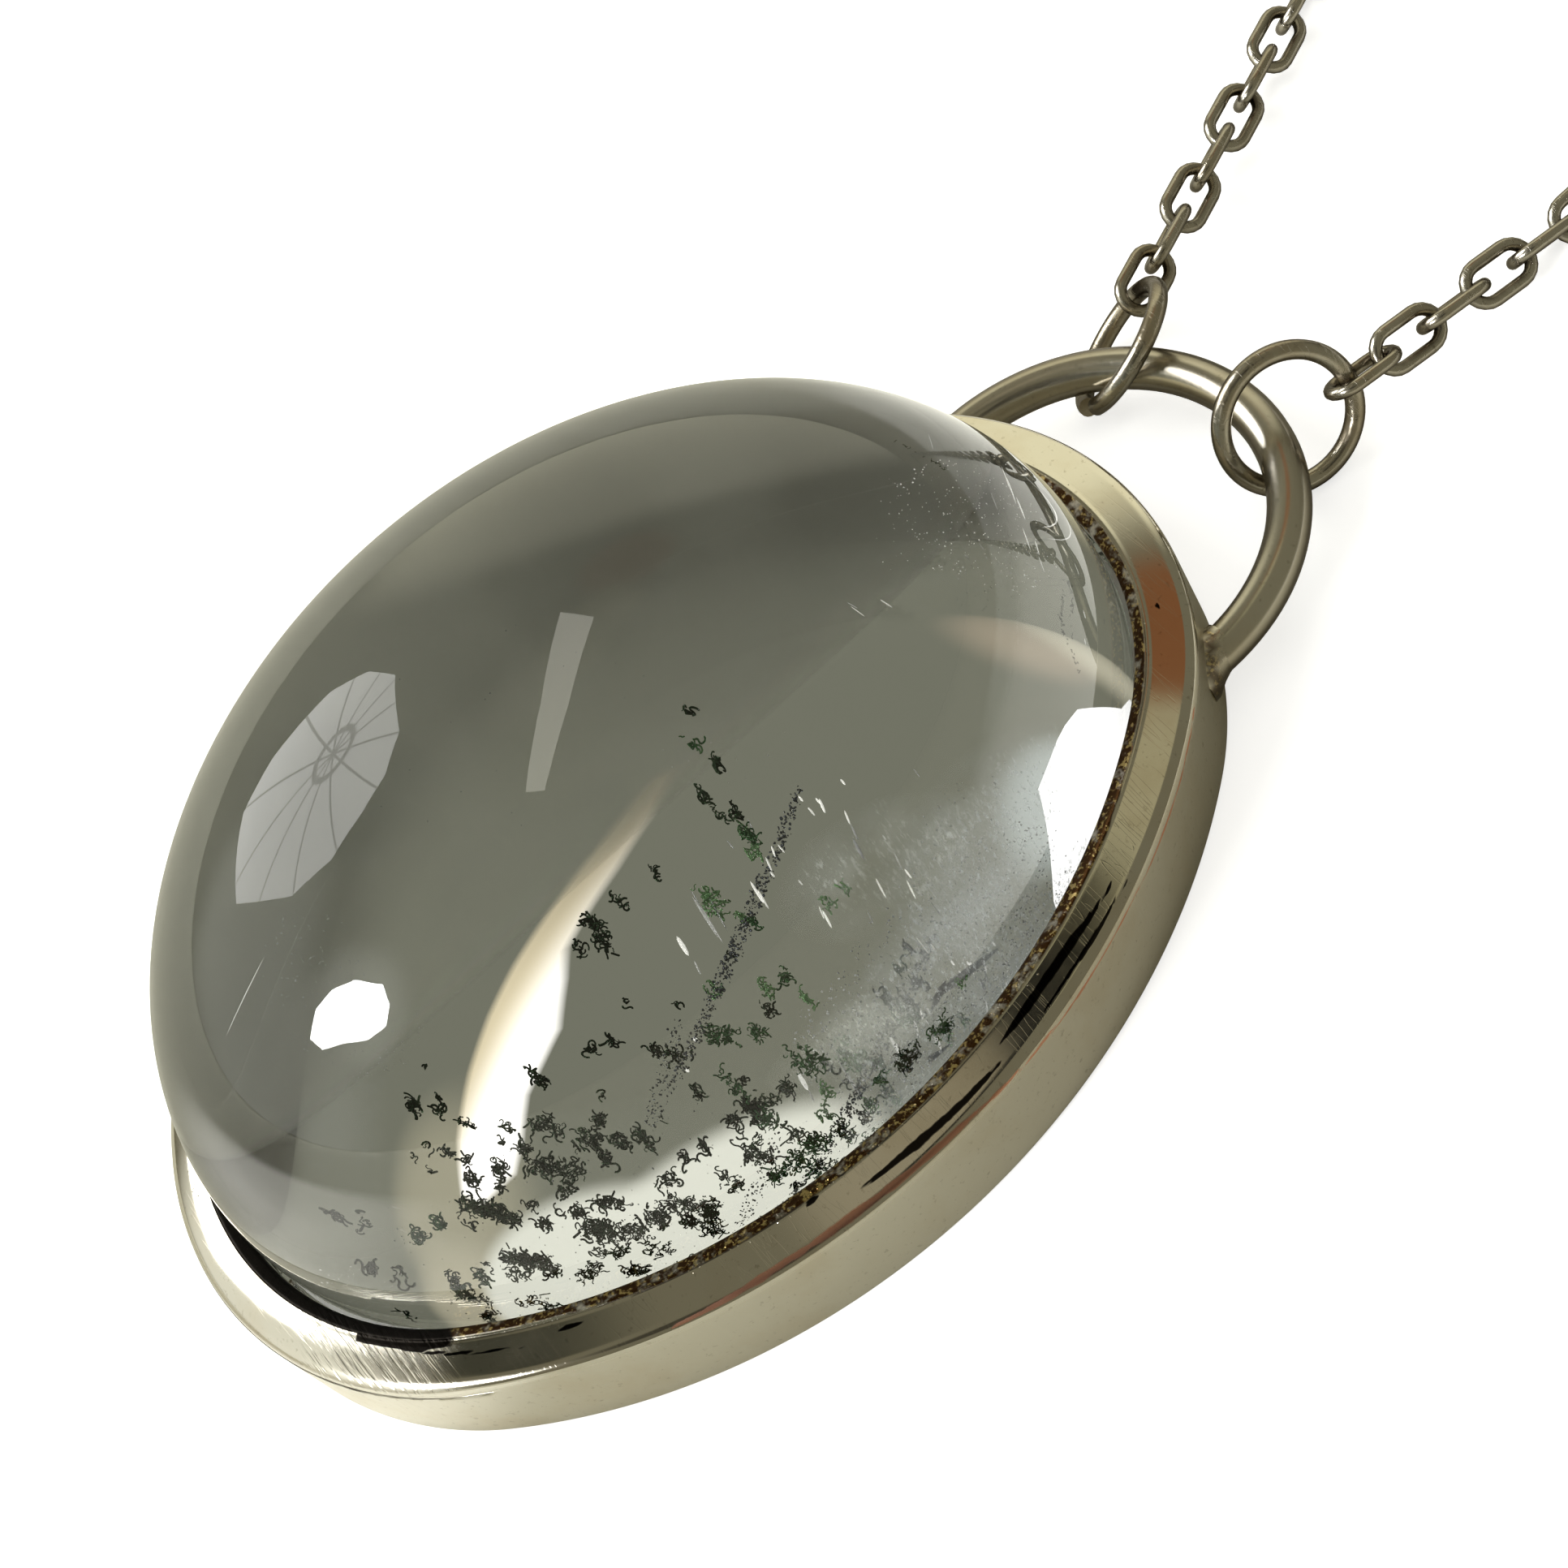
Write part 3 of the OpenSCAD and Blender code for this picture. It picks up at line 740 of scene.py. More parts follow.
# These lights are mirrored in the stone alone, as the silver stands turned away from them
mirrors = bpy.data.collections.new("mirrors_the_light")
mirrors.objects.link(stone)
for light in (strip, *sun_spots):
    light.light_linking.receiver_collection = mirrors

# Mineral clusters. Fine curled threads of dark green chlorite settled on an
# earlier face of the crystal, and clear quartz grew over them. The tangles lie
# low in the stone, near its foot.

# Middle, half length, half width, turn in plan, fullness, and shade from dark to pale green
CLUSTERS = [
    (-2.4, -8.2, 2.2, 0.2, 0.15, 30, 7, 0), (-2.1, -7.7, 2.2, 0.1, 0.1, 45, 2, 0),
    (-1.8, -7.9, 2.2, 0.15, 0.1, 30, 3, 0), (-0.9, -7.7, 2.4, 0.25, 0.1, 40, 4, 0),
    (-2.6, -7.4, 2.6, 0.1, 0.05, 20, 1, 0), (-0.3, -7.1, 2.2, 0.15, 0.2, 40, 3, 0),
    (-0.6, -5.7, 2.4, 0.4, 0.2, 5, 8, 0), (0, -7.5, 2.2, 0.1, 0.05, 40, 1, 0),
    (-1.1, -8.5, 2, 0.2, 0.1, 30, 4, 0), (-0.5, -8.3, 2, 0.15, 0.05, 30, 3, 0),
    (-1, -9.1, 2, 0.1, 0.05, 40, 1, 0), (-1.5, -9.1, 2, 0.05, 0.05, 40, 1, 0),
    (-1.5, -8.7, 2, 0.05, 0.05, 40, 1, 0), (0.3, -8, 2, 0.3, 0.2, 0, 7, 0),
    (0.7, -6.4, 2.4, 0.7, 0.2, 30, 15, 0), (1.8, -5.4, 2.6, 0.35, 0.25, -5, 8, 0),
    (2, -6, 2.5, 0.5, 0.6, -65, 17, 0), (0.5, -7.2, 2.2, 0.25, 0.3, 40, 8, 0),
    (1.7, -7.1, 2.2, 1.1, 0.4, 30, 34, 0), (2.5, -7.3, 2.2, 0.2, 0.2, 35, 4, 0),
    (2.9, -5.5, 2.6, 0.5, 0.25, 10, 9, 0), (3.3, -5, 2.6, 0.7, 0.25, -5, 13, 0),
    (0.9, -9, 1.9, 1.1, 0.25, 25, 34, 0), (1.7, -8.8, 1.9, 0.5, 0.2, 25, 10, 0),
    (0.3, -10.6, 1.9, 0.4, 0.2, -20, 8, 1), (0.4, -10, 1.9, 0.4, 0.2, -20, 6, 1),
    (-1.8, -11.3, 1.8, 0.2, 0.1, 35, 4, 0), (-1.2, -11, 1.8, 0.2, 0.05, 20, 2, 0),
    (-1.1, -11.3, 1.8, 0.1, 0.1, -5, 1, 0), (4.2, -7.6, 2, 0.6, 0.25, 25, 15, 0),
    (5.4, -8.1, 2, 0.6, 0.15, 20, 7, 0), (5.7, -8.9, 1.9, 0.6, 0.7, 50, 15, 0),
    (5.9, -7, 2.1, 0.7, 0.3, 0, 9, 0), (7.1, -7.1, 2, 0.8, 0.4, 15, 10, 0),
    (5.9, -7.7, 2, 0.25, 0.15, 25, 2, 0), (4.7, -5.4, 2.2, 0.5, 0.25, 25, 9, 0),
    (5.9, -6.4, 2.1, 0.35, 0.35, 40, 7, 0), (6.2, -5.6, 2.2, 0.35, 0.4, 110, 9, 0),
    (7, -5.3, 2.2, 0.5, 0.6, 55, 12, 0), (7.6, -5.7, 2.1, 0.5, 0.25, 25, 7, 0),
    (7.1, -4.3, 2.2, 0.35, 0.4, 70, 8, 0), (6.3, -4.3, 2.2, 0.25, 0.2, 55, 4, 0),
    (3.6, -3.2, 2.8, 0.4, 0.15, -10, 6, 0), (3.1, -4.3, 2.6, 0.1, 0.05, 75, 1, 0),
    (5.5, -2, 2.6, 0.5, 0.2, 30, 8, 0), (6.1, -2.4, 2.6, 0.7, 0.35, -10, 11, 1),
    (6.7, -3.2, 2.5, 0.8, 0.4, -30, 11, 0), (7.6, -2.2, 2.6, 0.4, 0.5, 30, 8, 0),
    (8.5, -2.6, 2.4, 0.8, 0.8, 80, 24, 1), (8.3, -3.3, 2.3, 0.5, 0.6, 50, 10, 1),
    (8.7, -1.2, 2.4, 0.35, 0.4, 65, 6, 0), (5.2, -3, 2.6, 0.2, 0.25, 60, 3, 0),
    (4.5, -2.1, 2.8, 0.15, 0.1, 45, 2, 0), (3.6, -10, 1.8, 0.7, 0.25, 5, 8, 0),
    (2.4, -10.2, 1.8, 0.2, 0.1, 10, 2, 0), (2.2, -11.1, 1.8, 0.6, 0.2, -15, 6, 0),
    (3.3, -11.4, 1.8, 0.9, 0.3, 10, 13, 0), (5.4, -10.5, 1.8, 0.5, 0.25, 55, 5, 0),
    (4.6, -11.7, 1.8, 0.5, 0.2, 35, 4, 0), (2.6, -13.2, 1.8, 0.5, 0.2, -5, 3, 0),
    (1.3, -4.9, 2.6, 0.15, 0.05, 50, 1, 0), (-2.6, 3.1, 5.4, 0.15, 0.05, -10, 2, 0),
    (-2, 2.7, 5.2, 0.35, 0.1, 20, 3, 1), (-1.3, 2.8, 5.2, 0.25, 0.15, 5, 5, 0),
    (-1.1, 2, 4.8, 0.4, 0.1, -5, 5, 0), (-0.7, 2, 4.6, 0.35, 0.05, 0, 2, 0),
    (-0.4, 2.3, 4.6, 0.2, 0.15, 45, 5, 0), (0.1, 2.2, 4.4, 0.6, 0.2, 5, 9, 1),
    (0.4, 2, 4.2, 0.4, 0.2, 15, 5, 2), (-0.7, -0.2, 4.6, 0.25, 0.1, -5, 3, 0),
    (-0.8, -1.3, 4.6, 0.4, 0.1, 10, 4, 0), (-1, -2.2, 4.4, 0.5, 0.2, 30, 9, 0),
    (-0.6, -2.3, 4.2, 0.5, 0.3, -10, 12, 0), (-0.9, -2.8, 4.2, 0.25, 0.1, -15, 3, 0),
    (0.5, -2.9, 3.6, 0.1, 0.05, -20, 1, 0), (1.5, -2, 3.4, 0.1, 0.1, 100, 1, 0),
    (0.6, -3.8, 3, 0.25, 0.15, 5, 5, 0), (0.4, -4.3, 3, 0.2, 0.1, 50, 3, 0),
    (1.8, -3.2, 3, 0.35, 0.15, 10, 6, 0), (2.4, -2.9, 3, 0.5, 0.1, 30, 7, 0),
    (3.1, -1.7, 3.2, 0.8, 0.3, 35, 17, 1), (3.9, -1, 3.2, 0.5, 0.3, -10, 9, 1),
    (3.6, -0.4, 3.3, 0.4, 0.2, -5, 6, 0), (3.1, -0.1, 3.4, 0.5, 0.2, 0, 6, 2),
    (3.3, 0.5, 3.4, 0.4, 0.15, 0, 6, 1), (4.3, 0.5, 3.3, 0.5, 0.15, 0, 5, 2),
    (5.8, -0.6, 3, 1.2, 0.5, 5, 22, 1), (5.8, -1.4, 2.9, 0.5, 0.15, 40, 4, 0),
    (7.4, -0.8, 2.8, 1, 0.2, -5, 7, 2), (4.5, -2.4, 2.9, 1.2, 0.15, 0, 8, 1),
    (0.4, 0.4, 4, 0.7, 0.35, -5, 13, 2), (1.3, 0.7, 3.9, 0.35, 0.15, -10, 3, 2),
    (1.7, 0.8, 3.8, 0.3, 0.1, -15, 3, 1), (2.1, -1.1, 3.5, 0.35, 0.25, 15, 5, 2),
    (1.7, -0.1, 3.6, 0.1, 0.05, 40, 1, 0), (2.8, 3.2, 3.8, 0.3, 0.15, 0, 3, 2),
    (2.8, 2.6, 3.8, 0.4, 0.2, -10, 4, 2), (8.5, 2.8, 2.4, 0.7, 0.6, 80, 20, 1),
    (8.4, 1.5, 2.4, 0.7, 0.7, 85, 26, 0), (8.2, 0.6, 2.4, 0.35, 0.4, 85, 7, 1),
    (8, 4.1, 2.8, 0.35, 0.25, 30, 3, 2)]
# Thin dark threads near the surface of the upper right: run of points and number of curls
THREADS = [
    ([(5.2, 14.9, 8.2), (5.9, 14.4, 8.2), (6.4, 13.9, 8.3), (6.9, 13.6, 8), (7.4, 13.3, 7.1)], 34),
    ([(5.3, 15, 8), (5.7, 14.8, 7.8), (6.3, 14.2, 7.9), (6.7, 13.9, 7.7)], 22),
    ([(1, 13.8, 13.1), (1.7, 14, 12.7), (2.3, 14.4, 12)], 16)]
CURLS_PER_FULLNESS, TANGLE_REACH, CURL_WIRE = 3.3, 0.72, 0.038
# Bend radius, sweep, and sweep of the bend back, in degrees
CURL_BENDS = [(0.13, 230, 0), (0.10, 150, -190), (0.17, 95, -80), (0.09, 300, 0), (0.14, 120, -210)]

curls = []
for bend, sweep, back in CURL_BENDS:
    curl = [turned_wire(CURL_WIRE, 4, bend, 0, sweep, 6)]
    if back:
        end = math.radians(sweep)
        curl.append(turned_wire(CURL_WIRE, 4, bend, sweep + 180, back, 6))
        curl[1].location = (2 * bend * math.cos(end) * MM, 2 * bend * math.sin(end) * MM, 0)
    curl = join(curl, "curl")
    seal(curl, 0.01, 60)
    close_ends(curl)
    curls.append(curl)

rng = random.Random(5)
curl_places, curl_shades = [], []
for x, y, z, length, width, turn, fullness, shade in CLUSTERS:
    turn = math.radians(turn)
    for number in range(int(CURLS_PER_FULLNESS * fullness)):
        reach, around = rng.random()**0.7 * TANGLE_REACH, rng.uniform(0, 2 * math.pi)
        along, across = length * reach * math.cos(around), width * reach * math.sin(around)
        middle = Vector((x + along * math.cos(turn) - across * math.sin(turn),
                         y + along * math.sin(turn) + across * math.cos(turn), z + rng.gauss(0, 0.1)))
        curl_places.append(at_random(rng, middle * MM, rng.uniform(0.35, 0.85), 0.8))
        curl_shades.append(shade / 2)
for points, count in THREADS:
    for number in range(count):
        part = rng.uniform(0, len(points) - 1.001)
        here, there = Vector(points[int(part)]), Vector(points[int(part) + 1])
        middle = here.lerp(there, part % 1) + Vector([rng.gauss(0, 0.03) for axis in range(3)])
        curl_places.append(at_random(rng, middle * MM, 0.45))
        curl_shades.append(0.0)
clusters = scatter(curls, curl_places, "mineral_clusters", curl_shades)
seal(clusters, 0.0001, 60)

DARK_GREEN, MID_GREEN, PALE_GREEN = (0.010, 0.024, 0.012), (0.045, 0.115, 0.048), (0.21, 0.37, 0.18)
OLIVE = (0.10, 0.13, 0.08)
chlorite, tree, shader = node_material("chlorite")
patches = noise(own_place(tree), 1800, 3, 0.6)
shade = plus(attribute(tree, "mark"), times(smooth_step(patches, 0.45, 0.65), 0.22))
green = blend(smooth_step(shade, 0.0, 0.5), DARK_GREEN, MID_GREEN)
green = blend(smooth_step(shade, 0.5, 1.0), green, PALE_GREEN)
green = blend(times(smooth_step(patches, 0.5, 0.7), 0.45), green, OLIVE)
feed(shader, {"Base Color": green, "Roughness": plus(0.6, times(patches, 0.3)), "Specular IOR Level": 0.03})
clusters.data.materials.append(chlorite)
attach(clusters, "root")

# Veils and flecks. Healed cracks in the quartz and dust on the edge of the
# earlier crystal. They show as bright slivers, pale specks and one thin dark
# line, all of them inside the one stone.

# Middle, half of the length from it, half thickness and brightness
SLIVERS = [
    ((0.2, 3.8, 4.2), (0.1, 0, 0), 0.05, 1), ((0.8, 4.1, 4.2), (0.2, -0.05, 0), 0.07, 1),
    ((0.7, 4.9, 4.2), (0.1, 0, 0), 0.05, 1), ((1.4, 4.4, 4), (0.2, -0.05, 0), 0.05, 0.9),
    ((2.2, 4.1, 3.8), (0.35, -0.05, 0), 0.09, 0.45), ((1.8, 4.3, 3.9), (0.25, -0.05, 0), 0.06, 0.5),
    ((3.5, 3.9, 3.6), (0.35, -0.05, 0), 0.05, 0.8), ((4.1, 4.5, 3.4), (0.35, -0.05, 0), 0.05, 0.8),
    ((3.7, 4.7, 3.5), (0.2, 0, 0), 0.05, 0.9), ((0.8, 2.4, 4.2), (0.15, -0.05, 0), 0.05, 1),
    ((1, 2.1, 4.2), (0.2, -0.05, 0), 0.05, 0.8), ((0.9, 2.6, 4.2), (0.15, 0, 0), 0.04, 0.8),
    ((1.2, 1.4, 4), (0.35, -0.05, 0), 0.07, 0.9), ((1.5, 1.4, 4), (0.3, -0.05, 0), 0.05, 0.8),
    ((3, 2.3, 3.6), (0.3, -0.05, 0), 0.06, 1), ((2.7, 2.3, 3.6), (0.2, -0.05, 0), 0.04, 0.8),
    ((2.3, 4.8, 3.6), (0.1, 0, 0), 0.04, 0.6), ((1.5, 6.5, 3.6), (0.15, 0, 0), 0.03, 0.5),
    ((-0.2, 1.7, 4.2), (0.15, 0, 0), 0.04, 0.5), ((5.4, 3.8, 3), (0.25, 0, 0), 0.04, 0.6),
    ((0.5, -0.9, 3.6), (0.3, -0.05, 0), 0.11, 1), ((1.2, -1, 3.5), (0.2, -0.05, 0), 0.05, 0.6),
    ((1.3, 2, 4.2), (0.1, 0, 0), 0.05, 0.8), ((0.6, 4.1, 4.2), (0.1, 0, 0), 0.05, 1),
    ((0.7, 3.8, 4.2), (0.15, 0, 0), 0.05, 0.8), ((0.8, 0, 4.1), (0.65, -0.1, 0), 0.05, 0.6),
    ((1.1, 0, 4.1), (0.6, -0.1, 0), 0.04, 0.6), ((1, 0.3, 4.1), (0.5, -0.1, 0), 0.04, 0.45),
    ((0.4, 0.1, 4.1), (0.45, -0.1, 0), 0.04, 0.5), ((3.1, 4.7, 3.5), (0.3, -0.05, 0), 0.04, 0.55),
    ((4.5, 4.9, 3.2), (0.3, 0, 0), 0.03, 0.5), ((4.1, 5.5, 3.2), (0.3, 0, 0), 0.03, 0.45),
    ((5.1, 4.7, 3.2), (0.35, 0, 0), 0.03, 0.4), ((-0.2, 2.4, 4.2), (0.2, -0.05, 0), 0.04, 0.5),
    ((3.9, 3.2, 3.5), (0.25, -0.05, 0), 0.04, 0.5), ((6, 4, 3), (0.2, 0, 0), 0.05, 0.6),
    ((5.8, 3.8, 3), (0.2, 0, 0), 0.04, 0.6), ((2.8, -2.3, 3.4), (0.1, 0, 0), 0.09, 1),
    ((3.2, -3, 3.2), (0.05, 0, 0), 0.08, 1), ((1.7, 2.4, 3.8), (0.1, 0, 0), 0.04, 0.7),
    ((8.6, 5.5, 2.4), (0.2, 0, 0), 0.05, 0.5), ((2, -11.5, 15.3), (0.1, 1.15, 0.75), 0.022, 1),
    ((2.7, 15.6, 9.8), (0.5, -0.2, 0.05), 0.05, 1), ((3.4, 15.4, 9.7), (0.35, -0.15, -0.05), 0.06, 1),
    ((2.2, 15.8, 9.8), (0.5, -0.2, 0.1), 0.03, 0.8), ((4.5, 14.8, 9.8), (0.3, -0.15, -0.1), 0.04, 0.9),
    ((4.7, 14.9, 9.4), (0.2, -0.1, -0.05), 0.05, 0.9), ((1.1, 14.7, 12.1), (0.35, -0.15, 0.1), 0.03, 0.6),
    ((3.4, 16.1, 8), (0.3, -0.15, 0), 0.03, 0.7), ((1.5, 15.3, 11.1), (0.1, 0.1, -0.2), 0.03, 0.5),
    ((3.3, 14.8, 10.7), (0.3, -0.1, 0), 0.03, 0.6), ((4.8, 15.3, 8.2), (0.25, -0.15, -0.05), 0.03, 0.6),
    ((6.2, 14.8, 7.3), (0.1, -0.05, -0.05), 0.05, 1), ((6.9, 14.2, 7.2), (0.05, -0.05, -0.05), 0.04, 0.9),
    ((5.1, 14.6, 9.2), (0.2, -0.1, -0.1), 0.03, 0.8), ((3.3, 16.5, 6.9), (0.35, -0.15, 0.05), 0.03, 0.5),
    ((5.7, 9.8, 13.5), (0.1, 0.05, -0.15), 0.04, 0.8), ((5.7, 9, 14.1), (0.15, 0.05, -0.15), 0.03, 0.8),
    ((5.5, 9, 14.2), (0.1, 0.05, -0.1), 0.03, 0.6)]
DUST_FIELDS = [
    # middle, two half widths, spread in height, count, size and brightness
    ((6, 4.1, 2.4), (-0.5, 4.4, 0), (3.3, 0.3, 0), 0.35, 900, 0.05, 0.45),  # frost of the right flank
    ((4.7, 6.6, 2.8), (-0.8, 2.8, 0), (2.9, 0.6, 0), 0.3, 300, 0.04, 0.35),  # frost above it
    ((6.4, 1.4, 2.6), (0.5, 2.5, 0), (2.7, 0.2, 0), 0.3, 260, 0.07, 0.55),  # pale crumbs between
    ((4.2, 13.9, 11.4), (1.2, 0.7, -2.7), (1.4, -2, 1.2), 0.2, 260, 0.035, 0.8),  # veil of the upper right
    ((4, 12.3, 12.8), (1.2, 0.3, -1.3), (0.8, -2, 1.1), 0.2, 60, 0.03, 0.9),  # specks under it
    ((4.8, -9.2, 15.8), (2.1, -0.3, -1.7), (0.9, 2, 0.5), 0.05, 500, 0.025, 0.4),  # haze by the window
    ((1.8, 0.1, 3.8), (2.3, -4, 0), (0.2, 0.1, 0), 0.1, 700, 0.06, 0),  # edge of the earlier crystal
    ((2.9, -3.6, 3.2), (1.2, -1.4, 0), (0.3, 0.1, 0), 0.1, 160, 0.05, 0),  # its lower end
    ((2.2, 0, 17.5), (-0.8, 5, -0.5), (3.2, 0.5, -1.3), 0.4, 40, 0.03, 0.1),  # dust of the left flank
    ((4.8, 3.4, 15.8), (0.6, 3.6, -1.5), (2.5, -0.6, -1.8), 0.5, 50, 0.025, 0.5),  # dust of the middle
    ((3.4, -6.2, 2.2), (3.6, 5.6, 0), (1.9, -1.2, 0), 0.3, 150, 0.03, 0.05)]  # dust of the foot

sliver = add_shape(bpy.ops.mesh.primitive_uv_sphere_add, segments=8, ring_count=6, radius=1)
sliver_places, sliver_tones = [], []
for middle, half, thickness, tone in SLIVERS:
    half = Vector(half)
    along = half.to_track_quat("X", "Z").to_matrix().to_4x4()
    sizes = Matrix.Diagonal((max(half.length, thickness) * 1.15, thickness * 0.55, thickness * 0.4, 1))
    sliver_places.append(Matrix.Translation(Vector(middle) * MM) @ along @ Matrix.Scale(MM, 4) @ sizes)
    sliver_tones.append(tone)
slivers = scatter([sliver], sliver_places, "bright_slivers", sliver_tones)

mote = add_shape(bpy.ops.mesh.primitive_ico_sphere_add, subdivisions=1, radius=1)
rng = random.Random(8)
mote_places, mote_tones = [], []
for middle, half_a, half_b, spread, count, size, tone in DUST_FIELDS:
    for number in range(count):
        reach, around = math.sqrt(rng.random()), rng.uniform(0, 2 * math.pi)
        beside = math.cos(around) * Vector(half_a) + math.sin(around) * Vector(half_b)
        place = Vector(middle) + reach * beside
        place.z += rng.gauss(0, spread / 2)
        mote_places.append(at_random(rng, place * MM, size * rng.uniform(0.35, 1) * MM, 0.3))
        mote_tones.append(tone)
motes = scatter([mote], mote_places, "motes", mote_tones)
veils = join([slivers, motes], "veils_and_flecks")
seal(veils, 0.00001, 60)

DARK_DUST, GREY_DUST, BRIGHT_FLECK = (0.07, 0.08, 0.10), (0.42, 0.43, 0.46), (0.95, 0.95, 0.90)
fleck, tree, shader = node_material("fleck")
tone = attribute(tree, "mark")
pale = blend(smooth_step(tone, 0.0, 0.35), DARK_DUST, GREY_DUST)
feed(shader, {
    "Base Color": blend(smooth_step(tone, 0.35, 1.0), pale, BRIGHT_FLECK),
    "Roughness": plus(0.2, times(noise(own_place(tree), 2500), 0.3)),
    # The brighter flecks and slivers glow with painted light
    "Emission Color": blend(smooth_step(tone, 0.4, 1.0), (0.0, 0.0, 0.0), (0.5, 0.5, 0.47)),
    "Emission Strength": 1.0})
fleck.cycles.emission_sampling = "NONE"
veils.data.materials.append(fleck)
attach(veils, "root")

# Frost. Four flat healed cracks low in the right flank of the stone, thin as
# paper and full of fine bubbles. They grew with the quartz and show as a haze.

# Middle, long and short half width, turn in plan, and how bright, with a painted glow, and how dense the
# frost is
FROST = [
    ((6.3, 3.4, 2.3), 5.2, 3.3, 96, 0.45, 0.62), ((4.6, 6.3, 2.7), 4.6, 3.4, 105, 0.3, 0.60),
    ((5.9, 0.9, 2.5), 3.0, 1.5, 70, 0.8, 0.46), ((3.6, 4.6, 3.9), 3.6, 2.2, 60, 0.6, 0.36)]
SHEET_HALF = 0.04
sheets = []
for middle, long, short, turn, bright, dense in FROST:
    sheet = add_shape(bpy.ops.mesh.primitive_uv_sphere_add, segments=48, ring_count=16, radius=1,
                      location=Vector(middle) * MM)
    sheet.scale = (long * MM, short * MM, SHEET_HALF * MM)
    sheet.rotation_euler = (0, 0, math.radians(turn))
    corners = [vertex.co for vertex in sheet.data.vertices]
    store(sheet.data, "dense", [min(1.6 * (1 - math.hypot(co.x, co.y)), 1.0) * dense for co in corners])
    store(sheet.data, "bright", [bright] * len(corners))
    sheets.append(sheet)
frost = join(sheets, "frost")
seal(frost, 0.00001, 60)

HAZE_SHARE, GRAIN_SHARE = 0.35, 0.65
frosted, tree, shader = node_material("frosted")
place = own_place(tree)
grains = noise(stretched(place, 62, (3200, 9000, 4000)), 1.0, 2.0, 0.7)
clouds = noise(place, 420, 2, 0.6)
dense, bright = attribute(tree, "dense"), attribute(tree, "bright")
cover = plus(dense, times(minus(clouds, 0.5), 0.8))
cover = times(smooth_step(cover, 0.05, 0.55), smooth_step(grains, 0.50, 0.72))
haze = times(times(dense, smooth_step(clouds, 0.25, 0.65)), HAZE_SHARE)
feed(shader, {
    "Alpha": maths("MAXIMUM", times(cover, GRAIN_SHARE), haze),
    "Base Color": blend(bright, (0.30, 0.33, 0.38), (0.75, 0.75, 0.67)),
    # The frost also glows faintly with painted light
    "Emission Color": blend(bright, (0.10, 0.115, 0.135), (0.30, 0.31, 0.27)),
    "Emission Strength": 1.0, "Roughness": plus(0.4, times(clouds, 0.3))})
frosted.cycles.emission_sampling = "NONE"
frost.data.materials.append(frosted)
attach(frost, "root")

# Jump rings. Two rings of round silver wire, bent and sawn, hang in the loop
# and carry the two strands. The left one was never pressed quite shut.
RING_RADIUS, RING_WIRE = 2.38, 0.34
RINGS = [
    # side, middle, direction that it faces, opening of the joint and where it lies, in degrees
    ("left", (-5.12, 24.25, 2.03), (-0.579, -0.38, 0.721), 22, 68),
    ("right", (2.49, 25.54, 2.53), (0.892, -0.146, 0.428), 4, 338)]

WIRE_WHITE, WIRE_BROWN = (0.70, 0.665, 0.58), (0.52, 0.43, 0.29)
ring_silver, shader, colour, wear_marks, place = worn_silver(
    "ring_silver", WIRE_WHITE, WIRE_BROWN, 0.7, (0.20, 0.17, 0.12), 0.5)
pliers = smooth_step(noise(stretched(place, 35, (900, 3200, 900)), 1.0), 0.35, 0.6)
feed(shader, {
    "Base Color": painted_dark_edges(colour, 0.9), "Metallic": 1.0,
    "Roughness": plus(0.20, times(wear_marks["Blotches"], 0.10)),
    "Normal": bump(minus(pliers, times(wear_marks["Scratches"], 0.5)), 0.006)})

for side, middle, faces, opening, turn in RINGS:
    ring = turned_wire(RING_WIRE, 16, RING_RADIUS, turn + opening / 2, 360 - opening, 72)
    close_ends(ring)
    faces = Vector(faces).normalized()
    ring.rotation_euler = (0, math.acos(faces.z), math.atan2(faces.y, faces.x))
    ring.location = Vector(middle) * MM
    ring = join([ring], f"wire_ring_{side}")
    seal(ring, 0.0005)
    ring.data.materials.append(ring_silver)
    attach(ring, "root")
    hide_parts(f"jump_ring_{side}")

# Chain. Fine cable chain of oval links, bent from round silver wire and
# soldered, every link turned square to the next. Painted dark shade sits on the
# inner side of each link and round the bends, and the outsides are worn bright.
LINK_LENGTH, LINK_WIDTH, LINK_WIRE, LINK_GAP, RING_GAP = 3.05, 1.84, 0.23, 0.12, 0.15
LINK_REACH, LINK_BEND = (LINK_LENGTH - LINK_WIDTH) / 2, LINK_WIDTH / 2 - LINK_WIRE
CHAIN_Z = 0.8
HALF_LINK = LINK_LENGTH / 2 - LINK_WIRE
PITCH = 2 * HALF_LINK - 2 * LINK_WIRE - LINK_GAP
FIRST_STEP = HALF_LINK - RING_WIRE - RING_GAP - LINK_WIRE
# Start at the ring, heading and slope in degrees, links, roll of even and odd links, added twist of the first
STRANDS = {
    "right": (Vector((2.94, 27.87, 2.36)), 0.5, 9.2, 111, -54, 36, 22),
    "left": (Vector((-6.44, 26.23, 2.01)), -26.0, 4.7, 110, 36, -54, 6)}
EYE_RADIUS, EYE_WIRE, CLASP_RADIUS, CLASP_TUBE = 0.9, 0.25, 2.3, 0.7
HOOK_STEP = HALF_LINK - LINK_WIRE - LINK_GAP - EYE_WIRE
CLASP_SPAN = 2 * (CLASP_RADIUS + CLASP_TUBE + 2 * EYE_RADIUS - 0.7)


def level_way(heading):
    """The level direction at a heading in degrees, clockwise from the loop's side."""
    return Vector((math.sin(math.radians(heading)), math.cos(math.radians(heading)), 0))


